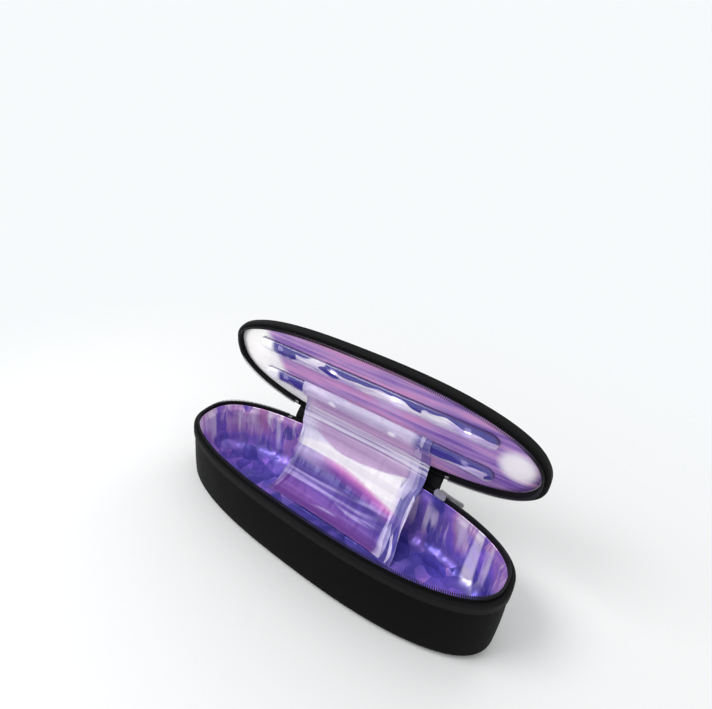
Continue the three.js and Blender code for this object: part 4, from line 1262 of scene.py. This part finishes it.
print("foil lining")
foilForm = {
    "columns": 460,
    "top": 61.2 * mm,
    "floor": 5.6 * mm,
    "footRadius": 20 * mm,
    "fold": 4.8 * mm,
    "floorFold": 2.0 * mm,
    "warp": 6 * mm,
    "calmBack": (62 * mm, 48 * mm),
    "wallRows": 56,
    "floorRows": 26,
    "thickness": 0.25 * mm,
}


def folds(seed, count, longest, shortest, upShare):
    # Straight creases: triangle waves in random directions, most of them standing upright on the walls
    made = []
    picker = random.Random(seed)
    for i in range(count):
        length = longest * (shortest / longest) ** (i / (count - 1))
        around = picker.uniform(0, 2 * math.pi)
        tilt = picker.uniform(-upShare, upShare)
        direction = Vector((math.cos(around), math.sin(around), tilt)).normalized()
        made.append((direction / length, picker.uniform(0, 1), length / longest))
    return made


def creased(point, waves):
    spot = point + noise.noise_vector(point * 21) * foilForm["warp"]
    total = sum(size * abs((spot.dot(direction) + phase) % 1 * 2 - 1) for direction, phase, size in waves)
    return total / sum(size for direction, phase, size in waves)


foilWaves = folds(5, 9, 40 * mm, 8 * mm, 0.4)
floorWaves = folds(8, 8, 50 * mm, 9 * mm, 0.2)


def foilPlace(at, share):
    # On the draped lining: share runs down the wall from 0, round a loose corner, to the floor's edge at 1
    form = foilForm
    loose = form["footRadius"] * (1 + 0.7 * noise.noise(at[0] * 26) + 0.3 * noise.noise(at[0] * 70))
    wall = form["top"] - form["floor"] - loose
    along = (wall + loose * math.pi / 2) * share
    if along < wall:
        return placed(at, case["foilInset"] + trayForm["draft"] * along / wall, form["top"] - along), 0.0
    angle = (along - wall) / loose
    inset = case["foilInset"] + trayForm["draft"] + loose * (1 - math.cos(angle))
    return placed(at, inset, form["floor"] + loose * (1 - math.sin(angle))), math.sin(angle)


def makeFoilLining():
    form = foilForm
    stations = run(form["columns"])[:-1]
    rows = []
    for i in range(form["wallRows"] + 1):
        share = i / form["wallRows"]
        row = []
        for at in stations:
            spot, lean = foilPlace(at, share)
            behind = 0.55 * smooth(*form["calmBack"], abs(at[0].x)) if at[0].y > 0 else 0.0
            free = 0.08 + 0.92 * smooth(0.0, 0.14, share) * (1 - behind)
            spot -= at[1] * form["fold"] * creased(spot, foilWaves) ** 1.2 * free * (1 - lean)
            spot.z += form["floorFold"] * creased(spot, floorWaves) * lean
            row.append(spot)
        rows.append(row)
    edge = rows[-1]
    for i in range(1, form["floorRows"] + 1):
        share = i / form["floorRows"]
        row = []
        for point in edge:
            spot = towardsMiddle(point, share, 0)
            spot.z = form["floor"] + form["floorFold"] * creased(spot, floorWaves)
            spot.z += (point.z - form["floor"]) * (1 - share) ** 6 * 0.3
            row.append(spot)
        rows.append(row)
    for spot in rows[-1]:
        spot.y = 0
        spot.z = form["floor"] + form["floorFold"] * creased(Vector((spot.x, 0, 0)), floorWaves)
    lining = merged(skin("foilLining", rows, wrapAcross=True), outwards=False)
    applied(lining, "SOLIDIFY", thickness=form["thickness"], offset=0)
    finished(lining, creasedFoil, "tray", ["base_foil_lining"])


makeFoilLining()

print("hinge cloth")
hingeForm = {
    "columns": 120,
    "rows": 30,
    "reach": 2.05 * mm,
    "thickness": 0.9 * mm,
    "leaf": 12 * mm,
    "lidLeaf": 5 * mm,
    "slack": 3 * mm,
    "bow": 0.6 * mm,
    "wrinkle": 0.25 * mm,
}


def makeHingeCloth():
    form = hingeForm
    half = case["hingeHalfLength"]
    low = case["baseHeight"]
    rows = []
    places = []
    for c in range(form["columns"] + 1):
        x = half * (2 * c / form["columns"] - 1)
        y = outlineY(x) + form["reach"]
        lidStart = opened(Vector((x, y, case["lidRim"])))
        lidEnd = opened(Vector((x, y, case["lidRim"] + form["lidLeaf"])))
        bow = Vector((0, form["bow"], 0))
        line = [
            Vector((x, y, low - form["leaf"])),
            Vector((x, y, low - form["leaf"] / 2)),
            Vector((x, y, low)),
            Vector((x, y, low)) + bow + upwards * form["slack"],
            lidStart - (lidEnd - lidStart).normalized() * form["slack"] + bow,
            lidStart,
            lidEnd,
        ]
        spots = curve(line, form["rows"])
        places.append([(x + half, along) for spot, along in spots])
        for spot, along in spots:
            spot.y += noise.noise(Vector((x * 60, along * 140, 0))) * form["wrinkle"]
        rows.append([spot for spot, along in spots])
    cloth = skin("hingeCloth", rows, places=places, flip=True)
    applied(cloth, "SOLIDIFY", thickness=form["thickness"], offset=0)
    finished(cloth, bindingTape, stands=["hinge_strip"])
    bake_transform(cloth)


makeHingeCloth()

print("lid lining")
liningForm = {
    "columns": 200,
    "rows": 110,
    "inset": 4.9 * mm,
    "ridge": 1.1 * mm,
    "thickness": 0.5 * mm,
    "wrinkle": 0.36 * mm,
    "edgeTuck": 1.4 * mm,
}


def liningHeight(x, y, reach):
    # Height of the lining's face on the closed lid: padded lengthwise ribs between the lamp rows
    form = liningForm
    calm = 1 - (abs(x) / reach) ** 6
    turn = math.pi * y / case["lampRowOffset"]
    ribs = 0.7 * (0.5 + 0.5 * math.cos(turn)) + 0.25 * (0.5 + 0.5 * math.cos(6 * turn))
    slow = noise.noise(Vector((x * 9, y * 60, 3))) + 0.5 * noise.noise(Vector((x * 26, y * 140, 9)))
    return case["liningFace"] - calm * (form["ridge"] * ribs + form["wrinkle"] * slow)


def makeLidLining():
    form = liningForm
    halfX = case["halfLength"] - form["inset"]
    halfY = case["halfWidth"] - form["inset"]
    power = case["outlinePower"]
    rows = []
    places = []
    for r in range(form["rows"] + 1):
        y = halfY * math.sin(math.pi * (r / form["rows"] - 0.5)) * 0.9985
        reach = halfX * (1 - abs(y / halfY) ** power) ** (1 / power)
        turns = [math.pi * (c / form["columns"] - 0.5) for c in range(form["columns"] + 1)]
        across = [reach * math.sin(turn) for turn in turns]
        row = []
        for x in across:
            edge = (abs(x) / halfX) ** power + (abs(y) / halfY) ** power
            z = liningHeight(x, y, reach) + form["edgeTuck"] * smooth(0.86, 1.0, edge)
            row.append(opened(Vector((x, y, z))))
        rows.append(row)
        places.append([(x, y) for x in across])
    lining = skin("lidLining", rows, places=places, flip=True)
    applied(lining, "SOLIDIFY", thickness=form["thickness"], offset=0)
    finished(lining, silverLining, "lid", ["lid_lining"])


makeLidLining()

print("lamp sleeves")
sleeveForm = {
    "halfLength": 132 * mm,
    "halfWidth": 8.5 * mm,
    "height": 5.52 * mm,
    "overlap": 0.9 * mm,
    "wrinkle": 0.35 * mm,
    "thickness": 0.35 * mm,
    "rows": 200,
    "columns": 26,
}


def makeSleeve(name, y, node, look):
    # A clear blister with round ends over one row of lamps
    form = sleeveForm
    half = form["halfLength"]
    wide = form["halfWidth"]
    face = case["liningFace"] - form["overlap"]
    rows = []
    places = []
    for r in range(form["rows"] + 1):
        x = half * math.sin(math.pi * (r / form["rows"] - 0.5))
        fromEnd = min(wide, half - abs(x))
        roundEnd = math.sqrt(max(0.0, 1 - ((wide - fromEnd) / wide) ** 2))
        angles = [math.pi * c / form["columns"] for c in range(form["columns"] + 1)]
        row = []
        for angle in angles:
            across = math.cos(angle)
            lift = max(0.0, math.sin(angle)) ** 0.7
            wobble = 1 + 0.1 * noise.noise(Vector((x * 55, across * 1.5, y * 90)))
            wrinkle = noise.noise(Vector((x * 120, across * 3, 5))) * form["wrinkle"]
            z = face - form["height"] * lift * roundEnd ** 0.6 * wobble - wrinkle * lift
            row.append(opened(Vector((x, y + wide * across * roundEnd, z))))
        rows.append(row)
        places.append([(x, wide * math.cos(angle)) for angle in angles])
    sleeve = merged(skin(name, rows, places=places), outwards=False)
    applied(sleeve, "SOLIDIFY", thickness=form["thickness"], offset=0)
    finished(sleeve, look, "lid", [node])


makeSleeve("lampSleeveLower", case["lampRowOffset"], "led_sleeve_lower", lowerVinyl)
makeSleeve("lampSleeveUpper", -case["lampRowOffset"], "led_sleeve_upper", upperVinyl)

print("zip slider and pull")
sliderForm = {
    "back": -8 * mm,
    "nose": 4 * mm,
    "plate": 1.2 * mm,
    "mouth": 1.7 * mm,
    "reach": 3.4 * mm,
    "outerTop": 1.2 * mm,
    "post": 2.4 * mm,
    "lip": 0.8 * mm,
    "lipHeight": 0.9 * mm,
    "edge": 0.22 * mm,
    "sink": 0.2 * mm,
    "bailLength": 6 * mm,
    "bailReach": 3.6 * mm,
    "bailHalf": 1 * mm,
    "bailBar": 1.1 * mm,
}
pullForm = {
    "length": 22 * mm,
    "halfWidth": 2.3 * mm,
    "halfThickness": 0.7 * mm,
    "halfBar": 0.65 * mm,
    "eyeLength": 4.1 * mm,
    "eyeHalf": 1.3 * mm,
    "waist": 9.5 * mm,
    "waistShare": 0.76,
    "border": 0.5 * mm,
}


def block(low, high, axis, radius, steps):
    # A block between two corners, with the four edges that run along one axis rounded
    size = [b - a for a, b in zip(low, high)]
    deselect()
    bpy.ops.mesh.primitive_cube_add(size=1, calc_uvs=False)
    made = bpy.context.object

    def runsAlong(edge):
        start, end = span(made, edge, axis)
        return end - start > size[axis] / 2

    with editing(made):
        bpy.ops.transform.resize(value=size)
        bpy.ops.transform.translate(value=[(a + b) / 2 for a, b in zip(low, high)])
    bevelled(made, runsAlong, radius, steps)
    return made


def sunk(piece, side, border):
    # The flat faces that look one way along Y get a raised border
    with editing(piece, chosen=lambda face: face.normal.y * side > 0.9):
        bpy.ops.mesh.inset(thickness=border, depth=-sliderForm["sink"])


def without(piece, cutter):
    applied(piece, "BOOLEAN", operation="DIFFERENCE", solver="EXACT", object=cutter)
    bpy.data.objects.remove(cutter)
    return piece


def joined(name, pieces, matrix):
    # Several blocks as one piece with broken edges, in its place
    whole = pieces[0]
    picked(whole)
    for piece in pieces:
        piece.select_set(True)
    if len(pieces) > 1:
        bpy.ops.object.join()
    whole.name = name
    applied(whole, "BEVEL", width=sliderForm["edge"], segments=2, limit_method="ANGLE")
    whole.data.transform(matrix)
    picked(whole)
    bpy.ops.object.shade_smooth_by_angle(angle=math.radians(38))
    return applied(whole, "WEIGHTED_NORMAL", keep_sharp=True)


def makeSlider():
    # Two shields astride the row of teeth, a post between them, lips that hold the tape, the bail and pull
    form = sliderForm
    at = station(zipStart)
    origin = placed(at, case["tapeInset"] + case["tapeThickness"] / 2, case["splitHeight"])
    matrix = upright(origin, Vector((-at[1].y, at[1].x, 0)), upwards)
    back, nose, mouth, reach, edge = [form[key] for key in ("back", "nose", "mouth", "reach", "edge")]
    top, plate, bar = form["outerTop"], form["plate"], form["bailBar"]
    outer = mouth + plate
    inside = block((back, mouth, -reach), (nose, outer, reach), 1, reach * 0.7, 5)
    outside = block((back, -outer, -reach), (nose, -mouth, top), 1, reach * 0.5, 5)
    sunk(inside, 1, form["lip"])
    sunk(outside, -1, form["lip"])
    postLow = (nose - form["post"], edge - outer, edge - reach)
    pieces = [inside, outside, block(postLow, (nose - edge, outer - edge, top), 1, edge, 1)]
    for side in (-1, 1):
        low, high = sorted((side * (mouth - form["lip"]), side * (mouth + edge)))
        lipLow = (back + plate, low, -reach)
        pieces.append(block(lipLow, (-plate, high, form["lipHeight"] - reach), 0, edge, 1))
    middle = (top - reach) / 2
    start = nose - form["post"] - form["bailLength"]
    end = start + form["bailLength"]
    half = form["bailHalf"]
    far = -outer - form["bailReach"]
    loop = block((start, far, middle - half), (end, edge - outer, middle + half), 2, bar * 1.4, 4)
    eyeLow = (start + bar, far + bar, middle - 2 * half)
    eye = block(eyeLow, (end - bar, edge - outer, middle + 2 * half), 2, bar * 0.6, 3)
    pieces.append(without(loop, eye))
    slider = joined("zipSlider", pieces, matrix)
    finished(slider, zipMetal, "tray", ["zip_slider"])
    own = pullForm
    axisX = (start + end) / 2
    axisY = -outer - (form["bailReach"] - bar) / 2
    thick, wide, eyeHalf = own["halfThickness"], own["halfWidth"], own["eyeHalf"]
    pullLow = (axisX - own["length"], axisY - thick, middle - wide)
    pull = block(pullLow, (axisX + own["halfBar"], axisY + thick, middle + wide), 1, wide * 0.96, 7)
    waist = axisX - own["waist"]
    with editing(pull):
        bpy.ops.mesh.bisect(plane_co=(waist, 0, 0), plane_no=(1, 0, 0))
        bpy.ops.transform.resize(value=(1, 1, own["waistShare"]), center_override=(waist, axisY, middle))
    for side in (-1, 1):
        sunk(pull, side, own["border"])
    eyeStart = axisX - own["halfBar"]
    windowLow = (eyeStart - own["eyeLength"], axisY - 3 * thick, middle - eyeHalf)
    window = block(windowLow, (eyeStart, axisY + 3 * thick, middle + eyeHalf), 1, eyeHalf * 0.5, 3)
    pull = joined("zipPull", [without(pull, window)], matrix)
    finished(pull, zipMetal, "pull", ["zip_pull"])


makeSlider()

print("pod housing")
podForm = {
    "halfLength": 29 * mm,
    "halfWidth": 12 * mm,
    "middleY": 24 * mm,
    "foot": 84.8 * mm,
    "height": 8 * mm,
    "wall": 1.6 * mm,
    "softEdge": 1.4 * mm,
    "buttonX": -14 * mm,
    "buttonHole": 5.3 * mm,
    "dish": 7.4 * mm,
    "dishDepth": 0.35 * mm,
    "lensHole": 1.6 * mm,
    "inletX": 12 * mm,
    "inletHalf": 4.8 * mm,
    "inletLow": 85.8 * mm,
    "inletHigh": 89.6 * mm,
}


def makePodHousing():
    # A long pill with a soft top edge: a dished ring for the button, a hole for the light, the inlet's mouth
    form = podForm
    foot = form["foot"]
    top = foot + form["height"]
    long, wide, wall, y = form["halfLength"], form["halfWidth"], form["wall"], form["middleY"]
    housing = block((-long, y - wide, foot), (long, y + wide, top), 2, wide * 0.985, 14)
    bevelled(housing, lambda edge: span(housing, edge)[0] > top - wall, form["softEdge"], 4)
    inner = wide - wall
    roomLow = (wall - long, y - inner, foot - wall)
    without(housing, block(roomLow, (long - wall, y + inner, top - wall), 2, inner * 0.985, 12))
    through = 2 * wall
    holes = [
        (form["buttonX"], form["buttonHole"], through),
        (form["buttonX"], form["dish"], form["dishDepth"]),
        (0, form["lensHole"], through),
    ]
    for x, radius, depth in holes:
        deselect()
        bpy.ops.mesh.primitive_cylinder_add(
            vertices=48, radius=radius, depth=2 * depth, location=(x, y, top), calc_uvs=False
        )
        without(housing, bpy.context.object)
    x, half, back = form["inletX"], form["inletHalf"], y + wide
    portLow = (x - half, back - through, form["inletLow"])
    without(housing, block(portLow, (x + half, back + wall, form["inletHigh"]), 1, wall, 4))
    tilted = upright(Vector((0, 0, 0)), Vector((1, 0, 0)), upwards, True)
    finished(joined("podHousing", [housing], tilted), podPlastic, "lid", ["control_housing"])


makePodHousing()

print("film bridge")
filmForm = {
    "columns": 170,
    "rows": 130,
    "halfLength": 75 * mm,
    "thickness": 0.2 * mm,
    "pleat": 1.0 * mm,
    "pleatStep": 15 * mm,
    "edgeWrinkle": 2.4 * mm,
    # Millimetres past the lower lamps and under the lining's face
    "lidLine": ((-10.5, -2.2), (-6, -7.6), (1, -8.4), (7, -7.2), (17, -3.4)),
    # Millimetres in from the foil at the back and over the ground
    "trayLine": ((0.4, 68), (3.2, 57), (21, 31), (44, 11), (56, 8.6)),
}


def filmLine(x):
    # The film's line on one cross-section, from above the lower lamps down to the tray's floor
    row = case["lampRowOffset"]
    face = case["liningFace"]
    back = outlineY(x) - case["foilInset"]
    points = [opened(Vector((x, row + past * mm, face + up * mm))) for past, up in filmForm["lidLine"]]
    return points + [Vector((x, back - inwards * mm, up * mm)) for inwards, up in filmForm["trayLine"]]


def makeFilm():
    form = filmForm
    half = form["halfLength"]
    rows = []
    places = []
    for c in range(form["columns"] + 1):
        x = half * (2 * c / form["columns"] - 1)
        edge = smooth(0.72, 1.0, abs(x) / half)
        spots = curve(filmLine(x), form["rows"])
        row = []
        for k, (spot, down) in enumerate(spots):
            along = (spots[min(form["rows"], k + 1)][0] - spots[max(0, k - 1)][0]).normalized()
            share = down / spots[-1][1]
            ends = min(1.0, share * 8, (1 - share) * 8)
            phase = down / form["pleatStep"] + 0.25 * noise.noise(Vector((x * 8, 0, 2)))
            pleat = abs(phase % 1 * 2 - 1) - 0.5
            slow = noise.noise(Vector((x * 10, down * 46, 4)))
            standing = math.sin(x * 620 + 3 * noise.noise(Vector((x * 30, down * 30, 7))))
            lift = form["pleat"] * (0.7 * pleat + 0.8 * slow) + form["edgeWrinkle"] * edge * standing * share
            narrow = 1 - 0.06 * smooth(0.35, 0.6, share) * (1 - smooth(0.75, 1.0, share))
            place = spot + Vector((0, along.z, -along.y)) * lift * ends
            place.x = x * narrow
            row.append(place)
        rows.append(row)
        places.append([(x, down) for spot, down in spots])
    film = skin("filmBridge", rows, places=places)
    applied(film, "SOLIDIFY", thickness=form["thickness"], offset=0)
    finished(film, mirrorFilm, stands=["film_bridge"])
    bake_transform(film)


makeFilm()
